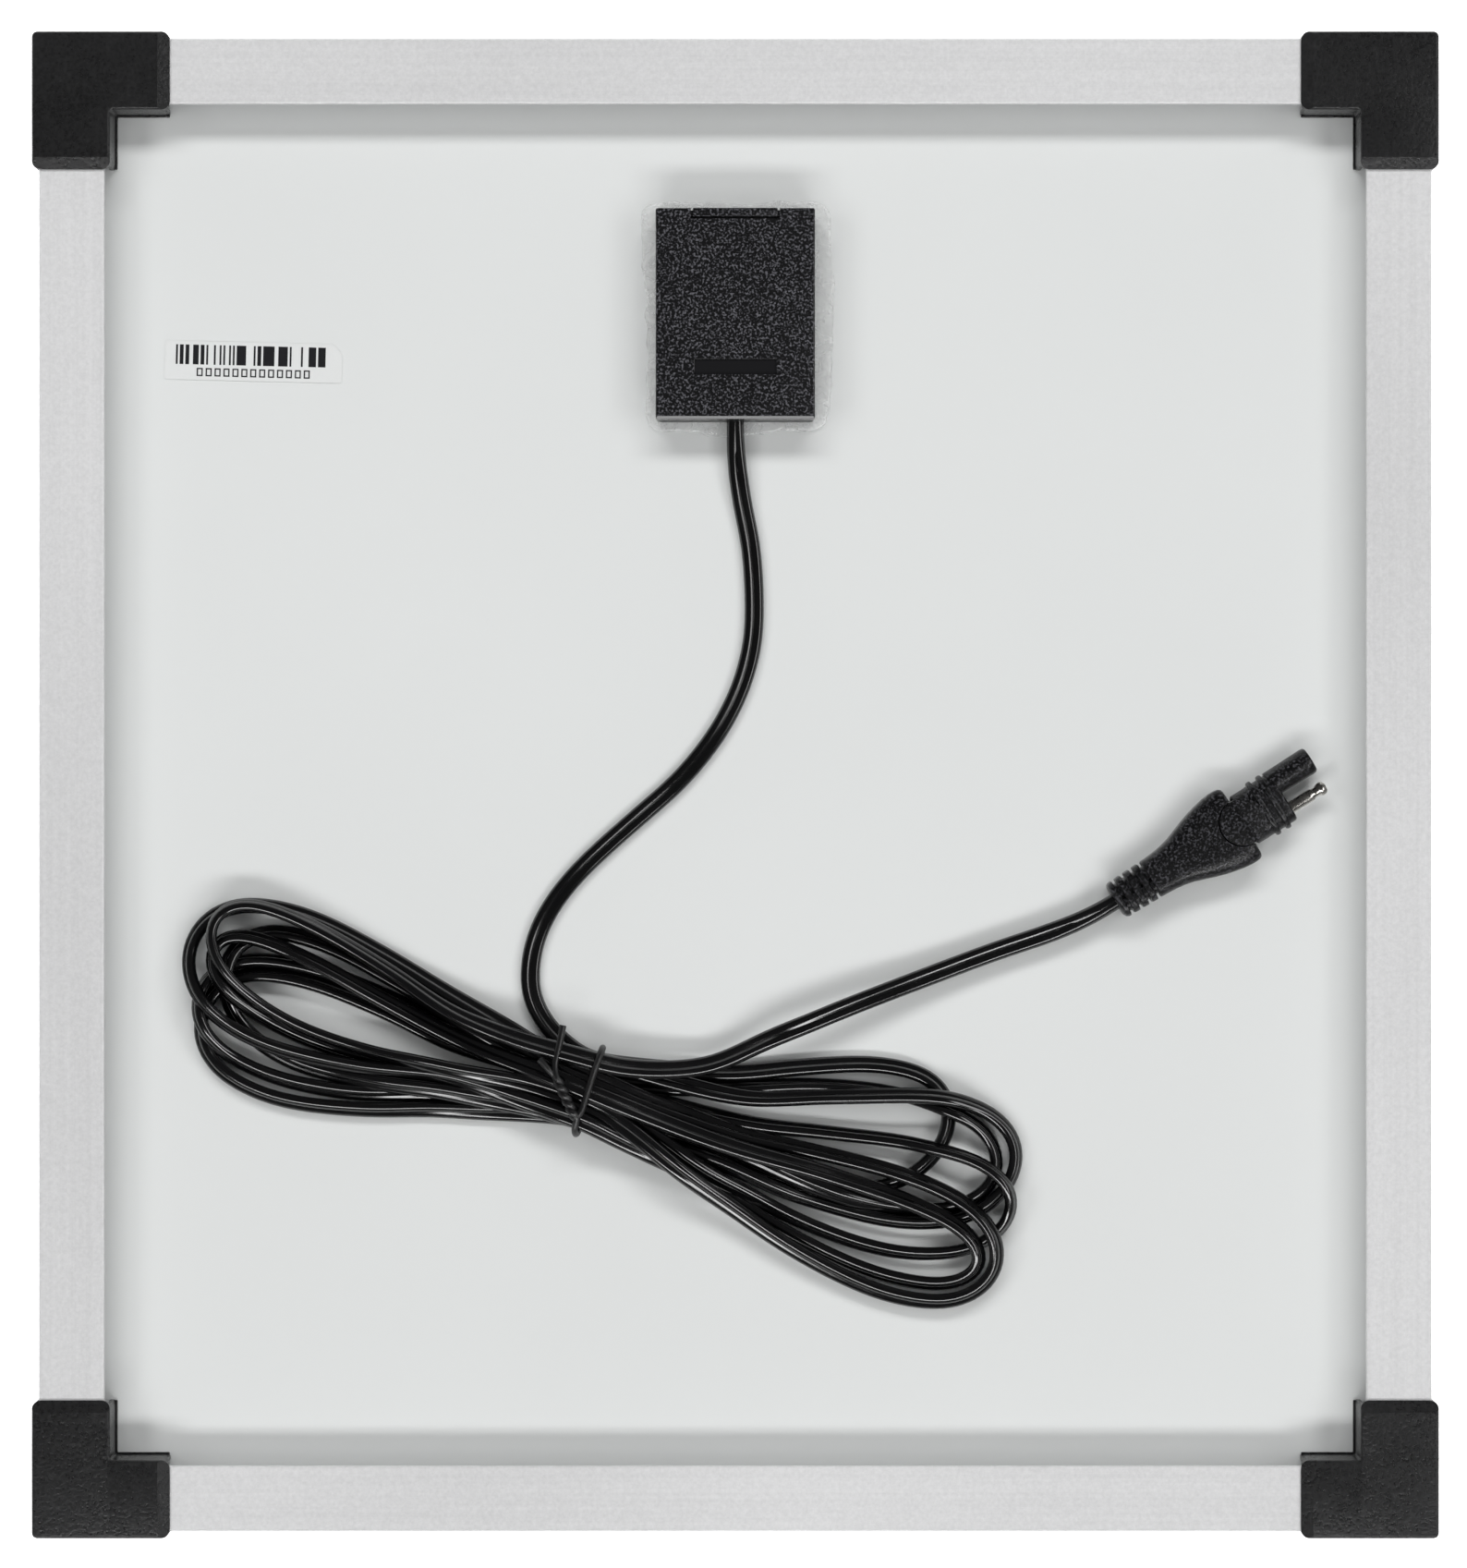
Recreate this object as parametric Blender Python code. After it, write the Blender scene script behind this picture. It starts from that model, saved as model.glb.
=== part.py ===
"""A small framed solar panel lying on its glass, with its junction box and its tied 12 V lead.

Metres, +Z up. The origin is on the surface that the corner caps stand on, under the panel's middle.
+Y points to the end with the junction box. The glass faces down and the backsheet faces up.
"""

import math

import bmesh
import bpy
from mathutils import Vector

# Frame
FRAME_W = 0.350
FRAME_H = 0.375
RAIL_DEPTH = 0.018
RAIL_WALL = 0.0013
REAR_FLANGE = 0.0165
FRONT_LIP = 0.007
LIP_THICK = 0.0011
SEAT_WEB = 0.010
WEB_THICK = 0.0012
CAP_WALL = 0.0013
CAP_ARM = 0.0346
CAP_FRONT = 0.0096
CAP_CORNER_R = 0.0025
KEY_ARM = 0.026

# Gaps: between pieces that touch, and between the bonded layers of the laminate
GAP = 0.0003
LAYER_GAP = 0.0001

# Heights above the surface that the caps stand on
RAIL_Z0 = CAP_WALL + GAP
RAIL_Z1 = RAIL_Z0 + RAIL_DEPTH
CAP_Z1 = RAIL_Z1 + GAP + CAP_WALL

# Laminate, from the glass at the front to the backsheet at the rear
LAMINATE_INSET = 0.0025
GLASS_THICK = 0.0032
FILM_THICK = 0.0004
CELL_THICK = 0.0002
RIBBON_THICK = 0.00015
SHEET_THICK = 0.00035
STRINGS = 4
CELLS_PER_STRING = 9
CELL_W = 0.0785
CELL_L = 0.0363
CELL_PITCH_X = 0.081
CELL_PITCH_Y = 0.0383
RIBBON_W = 0.0016
RIBBON_OFFSET = 0.020
BUS_W = 0.003

# Junction box, about its own middle
BOX_Y = 0.1183
BOX_W = 0.040
BOX_L = 0.053
BOX_WALL = 0.0015
BOX_FLOOR = 0.0015
BOX_FOOT_H = 0.0067
BOX_CORNER_R = 0.0010
LID_PLATE = 0.0014
LID_SKIRT = 0.0015
NOTCH_W = 0.0218
NOTCH_L = 0.0024
SLOT_Y = 0.0097
CORD_HOLE_Z = 0.0124
CORD_HOLE_R = 0.0023

# Lead: a flat two-core cord, 5.2 mm by 2.6 mm, whose tube here has the same cross-section area
TUBE_R = 0.0020
TUBE_STEP = 0.011

# Hank of the lead, about the middle of its tie, turned to run along the bundle
HANK_X = -0.0369
HANK_Y = -0.0771
HANK_TURN = math.radians(-15.6)
TIE_WIRE_R = 0.00085

# Connector, about the middle of its strain relief's end, pointing to its contacts
PLUG_X = 0.0959
PLUG_Y = -0.0294
PLUG_TURN = math.radians(32.2)
PLUG_HALF_THICK = 0.0048
BARREL_N = 0.0041
PIN_N = -0.0036

ROUND_SIDES = 20


def stack(first_z, layers):
    """The lower and upper height of each layer, one on the other from first_z."""
    levels = {}
    z = first_z
    for name, thick in layers:
        levels[name] = (z, z + thick)
        z += thick + LAYER_GAP
    return levels


LEVELS = stack(
    RAIL_Z0 + LIP_THICK + GAP,
    (
        ("front_glass", GLASS_THICK),
        ("encapsulant_front", FILM_THICK),
        ("cells", CELL_THICK),
        ("output_ribbons", RIBBON_THICK),
        ("encapsulant_rear", FILM_THICK),
        ("backsheet", SHEET_THICK),
        ("serial_label", RIBBON_THICK),
    ),
)
BACK_Z = LEVELS["backsheet"][1]
REST_Z = BACK_Z + GAP
BOX_Z0 = REST_Z
BOX_FOOT_Z = BOX_Z0 + BOX_FOOT_H
BOX_FLOOR_Z = BOX_Z0 + BOX_FLOOR
LID_Z1 = CAP_Z1 - 0.0005
LID_Z0 = BOX_FOOT_Z + GAP
LID_UNDER_Z = LID_Z1 - LID_PLATE
PLUG_Z = REST_Z + PLUG_HALF_THICK
TUBE_Z = REST_Z + TUBE_R

# The lead's free stretches, chosen by hand: out of the box to the hank, and on to the connector
LEAD_IN_ROUTE = (
    (0.0000, 0.0998, CORD_HOLE_Z),
    (0.0000, 0.0918, CORD_HOLE_Z),
    (0.0001, 0.0850, 0.0120),
    (0.0010, 0.0760, 0.0109),
    (0.0023, 0.0685, TUBE_Z),
    (0.0039, 0.0604, TUBE_Z),
    (0.0048, 0.0470, TUBE_Z),
    (0.0044, 0.0365, TUBE_Z),
    (0.0021, 0.0268, TUBE_Z),
    (-0.0012, 0.0190, TUBE_Z),
    (-0.0062, 0.0107, TUBE_Z),
    (-0.0145, 0.0008, TUBE_Z),
    (-0.0235, -0.0072, TUBE_Z),
    (-0.0318, -0.0145, TUBE_Z),
    (-0.0390, -0.0213, TUBE_Z),
    (-0.0447, -0.0280, TUBE_Z),
    (-0.0487, -0.0345, TUBE_Z),
    (-0.0511, -0.0410, TUBE_Z),
    (-0.0520, -0.0478, TUBE_Z),
    (-0.0512, -0.0546, TUBE_Z),
)
LEAD_OUT_ROUTE = (
    (0.0000, -0.0676, 0.0168),
    (0.0090, -0.0638, 0.0168),
    (0.0180, -0.0602, 0.0166),
    (0.0288, -0.0558, 0.0158),
    (0.0473, -0.0488, 0.0136),
    (0.0659, -0.0419, 0.0128),
    (0.0798, -0.0372, 0.0130),
    (0.0889, -0.0334, PLUG_Z),
    (0.0956, -0.0296, PLUG_Z),
)

# The hank's outer shape: place along it, lowest and highest side, lowest and highest height
WAIST_HALF = 0.0095
WAIST_Z0 = REST_Z + 2 * TIE_WIRE_R + GAP + 0.00005
WAIST_Z1 = 0.0190
HANK_SECTIONS = (
    (-0.1080, 0.0030, 0.0100, REST_Z, 0.0150),
    (-0.1050, -0.0025, 0.0150, REST_Z, 0.0165),
    (-0.0990, -0.0090, 0.0208, REST_Z, 0.0172),
    (-0.0890, -0.0172, 0.0237, REST_Z, 0.0172),
    (-0.0760, -0.0212, 0.0244, REST_Z, 0.0172),
    (-0.0600, -0.0215, 0.0238, REST_Z, 0.0174),
    (-0.0440, -0.0183, 0.0220, REST_Z, 0.0178),
    (-0.0280, -0.0148, 0.0186, REST_Z, 0.0184),
    (-0.0120, -0.0124, 0.0142, REST_Z, 0.0190),
    (-0.0028, -0.0119, 0.0119, REST_Z, 0.0190),
    (-0.0016, -WAIST_HALF, WAIST_HALF, WAIST_Z0, WAIST_Z1),
    (0.0016, -WAIST_HALF, WAIST_HALF, WAIST_Z0, WAIST_Z1),
    (0.0028, -0.0119, 0.0119, REST_Z, 0.0190),
    (0.0150, -0.0131, 0.0134, REST_Z, 0.0188),
    (0.0340, -0.0185, 0.0176, REST_Z, 0.0176),
    (0.0480, -0.0220, 0.0224, REST_Z, 0.0170),
    (0.0620, -0.0255, 0.0258, REST_Z, 0.0168),
    (0.0760, -0.0288, 0.0268, REST_Z, 0.0168),
    (0.0900, -0.0292, 0.0240, REST_Z, 0.0168),
    (0.1000, -0.0262, 0.0200, REST_Z, 0.0168),
    (0.1070, -0.0205, 0.0145, REST_Z, 0.0168),
    (0.1110, -0.0135, 0.0060, REST_Z, 0.0160),
    (0.1125, -0.0090, 0.0000, REST_Z, 0.0145),
)


def clear_scene():
    for obj in list(bpy.data.objects):
        bpy.data.objects.remove(obj)


def make_material(name, colour, roughness, metallic=0.0, alpha=1.0):
    material = bpy.data.materials.new(name)
    material.use_nodes = True
    shader = material.node_tree.nodes["Principled BSDF"]
    shader.inputs["Base Color"].default_value = (*colour, 1.0)
    shader.inputs["Roughness"].default_value = roughness
    shader.inputs["Metallic"].default_value = metallic
    shader.inputs["Alpha"].default_value = alpha
    return material


def make_finishes():
    return {
        "anodised_aluminium": make_material("anodised_aluminium", (0.78, 0.79, 0.80), 0.38, 0.9),
        "cap_plastic": make_material("cap_plastic", (0.020, 0.021, 0.023), 0.55),
        "key_aluminium": make_material("key_aluminium", (0.62, 0.63, 0.64), 0.5, 0.9),
        "glass": make_material("glass", (0.80, 0.88, 0.86), 0.05, 0.0, 0.3),
        "encapsulant": make_material("encapsulant", (0.90, 0.91, 0.90), 0.2, 0.0, 0.2),
        "cell_silicon": make_material("cell_silicon", (0.010, 0.014, 0.035), 0.25, 0.2),
        "tinned_copper": make_material("tinned_copper", (0.72, 0.72, 0.70), 0.3, 1.0),
        "backsheet_white": make_material("backsheet_white", (0.74, 0.755, 0.75), 0.45),
        "edge_sealant": make_material("edge_sealant", (0.75, 0.76, 0.76), 0.5),
        "label_paper": make_material("label_paper", (0.86, 0.87, 0.87), 0.4),
        "box_plastic": make_material("box_plastic", (0.022, 0.022, 0.024), 0.5),
        "clear_silicone": make_material("clear_silicone", (0.86, 0.88, 0.87), 0.12, 0.0, 0.4),
        "diode_epoxy": make_material("diode_epoxy", (0.02, 0.02, 0.02), 0.35),
        "core_red": make_material("core_red", (0.45, 0.02, 0.02), 0.4),
        "core_black": make_material("core_black", (0.015, 0.015, 0.016), 0.4),
        "zinc_screw": make_material("zinc_screw", (0.60, 0.60, 0.60), 0.35, 1.0),
        "cable_jacket": make_material("cable_jacket", (0.012, 0.012, 0.013), 0.32),
        "tie_plastic": make_material("tie_plastic", (0.015, 0.015, 0.016), 0.45),
        "connector_rubber": make_material("connector_rubber", (0.016, 0.016, 0.018), 0.5),
        "nickel_plate": make_material("nickel_plate", (0.66, 0.64, 0.60), 0.2, 1.0),
    }


def add_object(name, bm, material):
    """Closes up a bmesh, turns its faces outwards and makes it an object."""
    bmesh.ops.remove_doubles(bm, verts=bm.verts, dist=1e-7)
    bmesh.ops.recalc_face_normals(bm, faces=bm.faces)
    mesh = bpy.data.meshes.new(name)
    bm.to_mesh(mesh)
    bm.free()
    if material:
        mesh.materials.append(material)
    obj = bpy.data.objects.new(name, mesh)
    bpy.context.scene.collection.objects.link(obj)
    return obj


def sweep(name, sections, material, closed=False):
    """A solid through rings of points, with flat ends, or closed on itself."""
    bm = bmesh.new()
    rings = [[bm.verts.new(point) for point in section] for section in sections]
    following = rings[1:] + rings[:1] if closed else rings[1:]
    for ring, next_ring in zip(rings, following):
        for i, vert in enumerate(ring):
            j = (i + 1) % len(ring)
            bm.faces.new((vert, ring[j], next_ring[j], next_ring[i]))
    if not closed:
        bm.faces.new(rings[0])
        bm.faces.new(rings[-1])
    return add_object(name, bm, material)


def prism(name, outline, z0, z1, material):
    return sweep(name, [[(x, y, z) for x, y in outline] for z in (z0, z1)], material)


def block(name, low, high, material):
    (x0, y0, z0), (x1, y1, z1) = low, high
    return prism(name, ((x0, y0), (x1, y0), (x1, y1), (x0, y1)), z0, z1, material)


def arc(centre, radius, start, end, steps):
    """Points on an arc, both ends included. The angles are in degrees."""
    points = []
    for i in range(steps + 1):
        angle = math.radians(start + (end - start) * i / steps)
        points.append((centre[0] + radius * math.cos(angle), centre[1] + radius * math.sin(angle)))
    return points


def rounded(corners, steps=2):
    """An outline whose corners, each (x, y, radius), are rounded by that radius."""
    points = []
    for i, (x, y, radius) in enumerate(corners):
        here = Vector((x, y))
        if radius == 0:
            points.append((x, y))
            continue
        before = (Vector(corners[i - 1][:2]) - here).normalized()
        after = (Vector(corners[(i + 1) % len(corners)][:2]) - here).normalized()
        half = before.angle(after) / 2
        centre = here + (before + after).normalized() * radius / math.sin(half)
        first = here + before * radius / math.tan(half) - centre
        last = here + after * radius / math.tan(half) - centre
        for k in range(steps + 1):
            spoke = first.lerp(last, k / steps).normalized() * radius
            points.append(tuple(centre + spoke))
    return points


def circle(radius, sides=ROUND_SIDES):
    return [
        (radius * math.cos(2 * math.pi * i / sides), radius * math.sin(2 * math.pi * i / sides))
        for i in range(sides)
    ]


def turned(name, profile, centre, material, sides=ROUND_SIDES):
    """A solid of revolution about X through centre: profile is (place along X, radius) in order."""
    sections = []
    for along, radius in profile:
        ring = circle(radius, sides)
        sections.append([(centre[0] + along, centre[1] + y, centre[2] + z) for y, z in ring])
    return sweep(name, sections, material)


def as_helper(obj):
    obj.hide_render = True
    obj.display_type = "WIRE"
    return obj


def boolean(target, helper, operation):
    modifier = target.modifiers.new(helper.name, "BOOLEAN")
    modifier.operation = operation
    modifier.object = as_helper(helper)


def cut(target, helper):
    boolean(target, helper, "DIFFERENCE")


def weld_on(target, helper):
    boolean(target, helper, "UNION")


def bevel_edges(obj, width, segments=2):
    modifier = obj.modifiers.new("rounded_edges", "BEVEL")
    modifier.width = width
    modifier.segments = segments
    modifier.limit_method = "ANGLE"
    modifier.angle_limit = math.radians(50)


def shade_round(obj, degrees=40):
    obj.data.shade_smooth()
    obj.data.set_sharp_from_angle(angle=math.radians(degrees))


def rail_profile():
    """The rail's section: distance in from its outer face, and height."""
    groove_z = BACK_Z + GAP
    web_z = groove_z + WEB_THICK
    flange_z = RAIL_Z1 - RAIL_WALL
    lip_z = RAIL_Z0 + LIP_THICK
    return rounded(
        (
            (0, RAIL_Z0, 0.0006),
            (FRONT_LIP, RAIL_Z0, 0.0004),
            (FRONT_LIP, lip_z, 0.0002),
            (RAIL_WALL, lip_z, 0),
            (RAIL_WALL, groove_z, 0),
            (SEAT_WEB, groove_z, 0.0003),
            (SEAT_WEB, web_z, 0.0003),
            (RAIL_WALL, web_z, 0),
            (RAIL_WALL, flange_z, 0),
            (REAR_FLANGE, flange_z, 0.0002),
            (REAR_FLANGE, RAIL_Z1, 0.0005),
            (0, RAIL_Z1, 0.0006),
        )
    )


def make_rails(finish):
    """Four rails with mitred ends. Each is drawn along X and turned about the panel's middle."""
    quarter_turns = {"rail_top": 0, "rail_left": 1, "rail_bottom": 2, "rail_right": 3}
    for name, quarters in quarter_turns.items():
        length, reach = (FRAME_W, FRAME_H) if quarters % 2 == 0 else (FRAME_H, FRAME_W)
        sections = []
        for side in (-1, 1):
            section = []
            for inward, z in rail_profile():
                x = side * (length / 2 - inward - GAP / 2)
                section.append((x, reach / 2 - inward, z))
            sections.append(section)
        rail = sweep(name, sections, finish["anodised_aluminium"])
        rail.rotation_euler.z = quarters * math.pi / 2


def around_corner(inward, z, arm, corner_radius, steps=4):
    """A section's point carried round an L: from one arm's end, round the corner, to the other's."""
    points = [(arm, inward, z)]
    for i in range(steps + 1):
        angle = math.radians(270 - 90 * i / steps)
        if inward < corner_radius:
            spoke = corner_radius - inward
            x = corner_radius + spoke * math.cos(angle)
            y = corner_radius + spoke * math.sin(angle)
            points.append((x, y, z))
        else:
            points.append((inward, inward, z))
    points.append((inward, arm, z))
    return points


def corner_piece(name, profile, arm, corner_radius, corner, offset, material):
    """An L-shaped piece of constant section. offset is how far outside the frame's corner it starts."""
    columns = [around_corner(inward, z, arm, corner_radius) for inward, z in profile]
    sections = []
    for station in zip(*columns):
        section = []
        for u, v, z in station:
            x = corner[0] * (FRAME_W / 2 + offset - u)
            y = corner[1] * (FRAME_H / 2 + offset - v)
            section.append((x, y, z))
        sections.append(section)
    return sweep(name, sections, material)


def cap_profile():
    inside = RAIL_Z1 + GAP
    skirt = REAR_FLANGE + CAP_WALL + 2 * GAP
    cap_w = skirt + CAP_WALL
    return rounded(
        (
            (0, 0, 0.0008),
            (CAP_FRONT, 0, 0.0004),
            (CAP_FRONT, CAP_WALL, 0),
            (CAP_WALL, CAP_WALL, 0),
            (CAP_WALL, inside, 0),
            (skirt, inside, 0),
            (skirt, REST_Z, 0),
            (cap_w, REST_Z, 0),
            (cap_w, CAP_Z1, 0.0009),
            (0, CAP_Z1, 0.0009),
        )
    )


def key_profile():
    web_z = BACK_Z + GAP + WEB_THICK + GAP
    flange_z = RAIL_Z1 - RAIL_WALL - GAP
    near = RAIL_WALL + GAP
    return ((near, web_z), (near + 0.0065, web_z), (near + 0.0065, flange_z), (near, flange_z))


RECTANGLE = ((-1, -1), (1, -1), (1, 1), (-1, 1))
CORNERS = {
    "top_left": (-1, 1),
    "top_right": (1, 1),
    "bottom_left": (-1, -1),
    "bottom_right": (1, -1),
}


def make_corners(finish):
    for place, corner in CORNERS.items():
        corner_piece(
            "corner_cap_" + place,
            cap_profile(),
            CAP_ARM,
            CAP_CORNER_R,
            corner,
            CAP_WALL + GAP,
            finish["cap_plastic"],
        )
        corner_piece(
            "corner_key_" + place, key_profile(), KEY_ARM, 0.0, corner, 0.0, finish["key_aluminium"]
        )


def make_sheet(name, finish, inset=LAMINATE_INSET):
    z0, z1 = LEVELS[name]
    half_w = FRAME_W / 2 - inset
    half_h = FRAME_H / 2 - inset
    return block(name, (-half_w, -half_h, z0), (half_w, half_h, z1), finish)


def make_edge_seal(finish):
    """The sealant between the laminate's edge and the rails, as a closed ring."""
    near = RAIL_WALL + GAP
    far = LAMINATE_INSET - GAP
    z0 = LEVELS["front_glass"][0]
    section = ((near, z0), (far, z0), (far, BACK_Z), (near, BACK_Z))
    sections = []
    for sx, sy in RECTANGLE:
        sections.append(
            [(sx * (FRAME_W / 2 - a), sy * (FRAME_H / 2 - a), z) for a, z in section]
        )
    sweep("edge_seal", sections, finish["edge_sealant"], closed=True)


def string_x(index):
    return (index - (STRINGS - 1) / 2) * CELL_PITCH_X


def string_rows():
    """Each row of a cell string: its start, its end and whether it is a cell or only ribbon."""
    half = (CELLS_PER_STRING * CELL_PITCH_Y - (CELL_PITCH_Y - CELL_L)) / 2
    stub = 0.0012
    rows = [(-half - stub, -half, False)]
    for k in range(CELLS_PER_STRING):
        start = -half + k * CELL_PITCH_Y
        rows.append((start, start + CELL_L, True))
        if k < CELLS_PER_STRING - 1:
            rows.append((start + CELL_L, start + CELL_PITCH_Y, False))
    rows.append((half, half + stub, False))
    return rows


def make_string(index, finish):
    """Nine cells in a row, joined by two ribbons, as one flat solid."""
    half = CELL_W / 2
    near = RIBBON_OFFSET - RIBBON_W / 2
    far = RIBBON_OFFSET + RIBBON_W / 2
    columns = ((-half, -far), (-far, -near), (-near, near), (near, far), (far, half))
    centre = string_x(index)
    z0, z1 = LEVELS["cells"]
    bm = bmesh.new()
    for y0, y1, is_cell in string_rows():
        for k, (x0, x1) in enumerate(columns):
            if is_cell or k in (1, 3):
                corners = ((x0, y0), (x1, y0), (x1, y1), (x0, y1))
                bm.faces.new([bm.verts.new((centre + x, y, z0)) for x, y in corners])
    bmesh.ops.remove_doubles(bm, verts=bm.verts, dist=1e-7)
    made = bmesh.ops.extrude_face_region(bm, geom=bm.faces[:])
    raised = [item for item in made["geom"] if isinstance(item, bmesh.types.BMVert)]
    bmesh.ops.translate(bm, verts=raised, vec=(0, 0, z1 - z0))
    add_object(f"cell_string_{index + 1}", bm, finish["cell_silicon"])


def make_bus(name, first, last, side, finish):
    """A flat ribbon across the ends of the strings from first to last."""
    rows = string_rows()
    y = rows[-1][1] + GAP
    reach = RIBBON_OFFSET + 0.004
    x0 = string_x(first) - reach
    x1 = string_x(last) + reach
    z0, z1 = LEVELS["cells"]
    y0, y1 = sorted((side * y, side * (y + BUS_W)))
    block(name, (x0, y0, z0), (x1, y1, z1), finish["tinned_copper"])


def make_output_ribbon(name, side, finish):
    """From an outer string, behind the cells, and up through the backsheet into the box."""
    z0, z1 = LEVELS["output_ribbons"]
    top = string_rows()[-1][1] + GAP + BUS_W
    far = abs(string_x(0)) + RIBBON_OFFSET
    outer, inner = 0.010, 0.006
    tab_y = BOX_Y + SLOT_Y
    corners = (
        (far, top - BUS_W),
        (outer, top - BUS_W),
        (outer, tab_y),
        (inner, tab_y),
        (inner, top),
        (far, top),
    )
    outline = [(side * x, y) for x, y in corners]
    ribbon = prism(name, outline, z0, z1, finish["tinned_copper"])
    x0, x1 = sorted((side * outer, side * inner))
    low = (x0, tab_y, z0)
    high = (x1, tab_y + RIBBON_THICK, BOX_FLOOR_Z + 0.0028)
    weld_on(ribbon, block(name + "_tab", low, high, None))


def make_laminate(finish):
    make_sheet("front_glass", finish["glass"])
    make_sheet("encapsulant_front", finish["encapsulant"])
    rear_film = make_sheet("encapsulant_rear", finish["encapsulant"])
    backsheet = make_sheet("backsheet", finish["backsheet_white"])
    slot_y = BOX_Y + SLOT_Y
    low = (-0.0105, slot_y - 0.001, LEVELS["encapsulant_rear"][0] - 0.0001)
    high = (0.0105, slot_y + 0.001, BACK_Z + 0.001)
    slot = block("ribbon_slot", low, high, None)
    cut(rear_film, slot)
    cut(backsheet, slot)
    make_edge_seal(finish)
    for index in range(STRINGS):
        make_string(index, finish)
    make_bus("bus_ribbon_left", 0, 1, -1, finish)
    make_bus("bus_ribbon_right", 2, 3, -1, finish)
    make_bus("bus_ribbon_middle", 1, 2, 1, finish)
    make_output_ribbon("output_ribbon_left", -1, finish)
    make_output_ribbon("output_ribbon_right", 1, finish)
    z0, z1 = LEVELS["serial_label"]
    block("serial_label", (-0.1429, 0.1015, z0), (-0.0988, 0.1113, z1), finish["label_paper"])


def at_box(obj):
    """Places a piece that is drawn about the junction box's middle."""
    obj.location.y = BOX_Y
    return obj


def upper_half_w():
    return BOX_W / 2 - LID_SKIRT - GAP


def make_box_base(finish):
    half_l = BOX_L / 2
    upper_l = half_l - LID_SKIRT - GAP
    upper_w = upper_half_w()
    inner_w = upper_w - BOX_WALL
    inner_l = upper_l - BOX_WALL
    foot = rounded([(sx * BOX_W / 2, sy * half_l, BOX_CORNER_R) for sx, sy in RECTANGLE])
    base = at_box(prism("junction_box_base", foot, BOX_Z0, BOX_FOOT_Z, finish["box_plastic"]))
    walls_low = (-upper_w, -upper_l, BOX_Z0 + 0.001)
    walls = block("box_walls", walls_low, (upper_w, upper_l, LID_UNDER_Z - GAP), None)
    tab_half = NOTCH_W / 2 - GAP
    tab_low = (-tab_half, half_l - NOTCH_L + GAP, BOX_Z0 + 0.002)
    tab = block("box_tab", tab_low, (tab_half, half_l, LID_Z1 - 0.0001), None)
    hollow = block("box_hollow", (-inner_w, -inner_l, BOX_FLOOR_Z), (inner_w, inner_l, 0.03), None)
    slot_low = (-0.0115, SLOT_Y - 0.0018, BOX_Z0 - 0.001)
    slot = block("box_slot", slot_low, (0.0115, SLOT_Y + 0.0018, BOX_FLOOR_Z + 0.001), None)
    bore = turned(
        "cord_hole", ((-0.03, CORD_HOLE_R), (-0.018, CORD_HOLE_R)), (0, 0, 0), None
    )
    bore.rotation_euler.z = math.pi / 2
    bore.location.z = CORD_HOLE_Z
    weld_on(base, at_box(walls))
    weld_on(base, at_box(tab))
    cut(base, at_box(hollow))
    cut(base, at_box(slot))
    cut(base, at_box(bore))
    for side in (-1, 1):
        x0, x1 = sorted((side * (upper_w - 0.0008), side * (upper_w + 0.003)))
        low = (x0, -half_l - 0.001, LID_Z0 + 0.0004)
        high = (x1, half_l + 0.001, LID_Z0 + 0.0018)
        cut(base, at_box(block(f"box_groove_{side}", low, high, None)))


def make_box_lid(finish):
    """The lid slides along Y: its skirts' inner ribs run in the grooves of the base."""
    half_w = BOX_W / 2
    half_l = BOX_L / 2
    low = (-half_w, -half_l, LID_Z0)
    lid = at_box(block("junction_box_lid", low, (half_w, half_l, LID_Z1), finish["box_plastic"]))
    bevel_edges(lid, 0.0006)
    inner = half_w - LID_SKIRT
    rib = upper_half_w() - 0.0005
    rib_z0 = LID_Z0 + 0.0007
    rib_z1 = LID_Z0 + 0.0015
    outline = (
        (-inner, LID_Z0 - 0.001),
        (inner, LID_Z0 - 0.001),
        (inner, rib_z0),
        (rib, rib_z0),
        (rib, rib_z1),
        (inner, rib_z1),
        (inner, LID_UNDER_Z),
        (-inner, LID_UNDER_Z),
        (-inner, rib_z1),
        (-rib, rib_z1),
        (-rib, rib_z0),
        (-inner, rib_z0),
    )
    ends = (-half_l + LID_SKIRT, half_l + 0.002)
    channel = sweep("lid_channel", [[(x, y, z) for x, z in outline] for y in ends], None)
    cut(lid, at_box(channel))
    notch_low = (-NOTCH_W / 2, half_l - NOTCH_L, LID_Z0 - 0.001)
    cut(lid, at_box(block("lid_notch", notch_low, (NOTCH_W / 2, 0.04, 0.03), None)))
    plate_low = (-0.0104, -0.0153, LID_Z1 - 0.0004)
    cut(lid, at_box(block("lid_plate", plate_low, (0.0104, -0.0114, 0.03), None)))
    for k in range(5):
        y = 0.0115 + 0.0024 * k
        low = (-0.0062, y, LID_Z1 - 0.00035)
        high = (0.0062, y + 0.0009, 0.03)
        cut(lid, at_box(block(f"lid_grip_{k}", low, high, None)))


def bead_width(angle):
    """How far the silicone spreads from the box's foot, which varies round it."""
    right_side = 0.0009 * math.cos(angle)
    waves = 0.0007 * math.sin(3 * angle + 0.6) + 0.0004 * math.sin(7 * angle)
    return 0.0028 + right_side + waves


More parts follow.
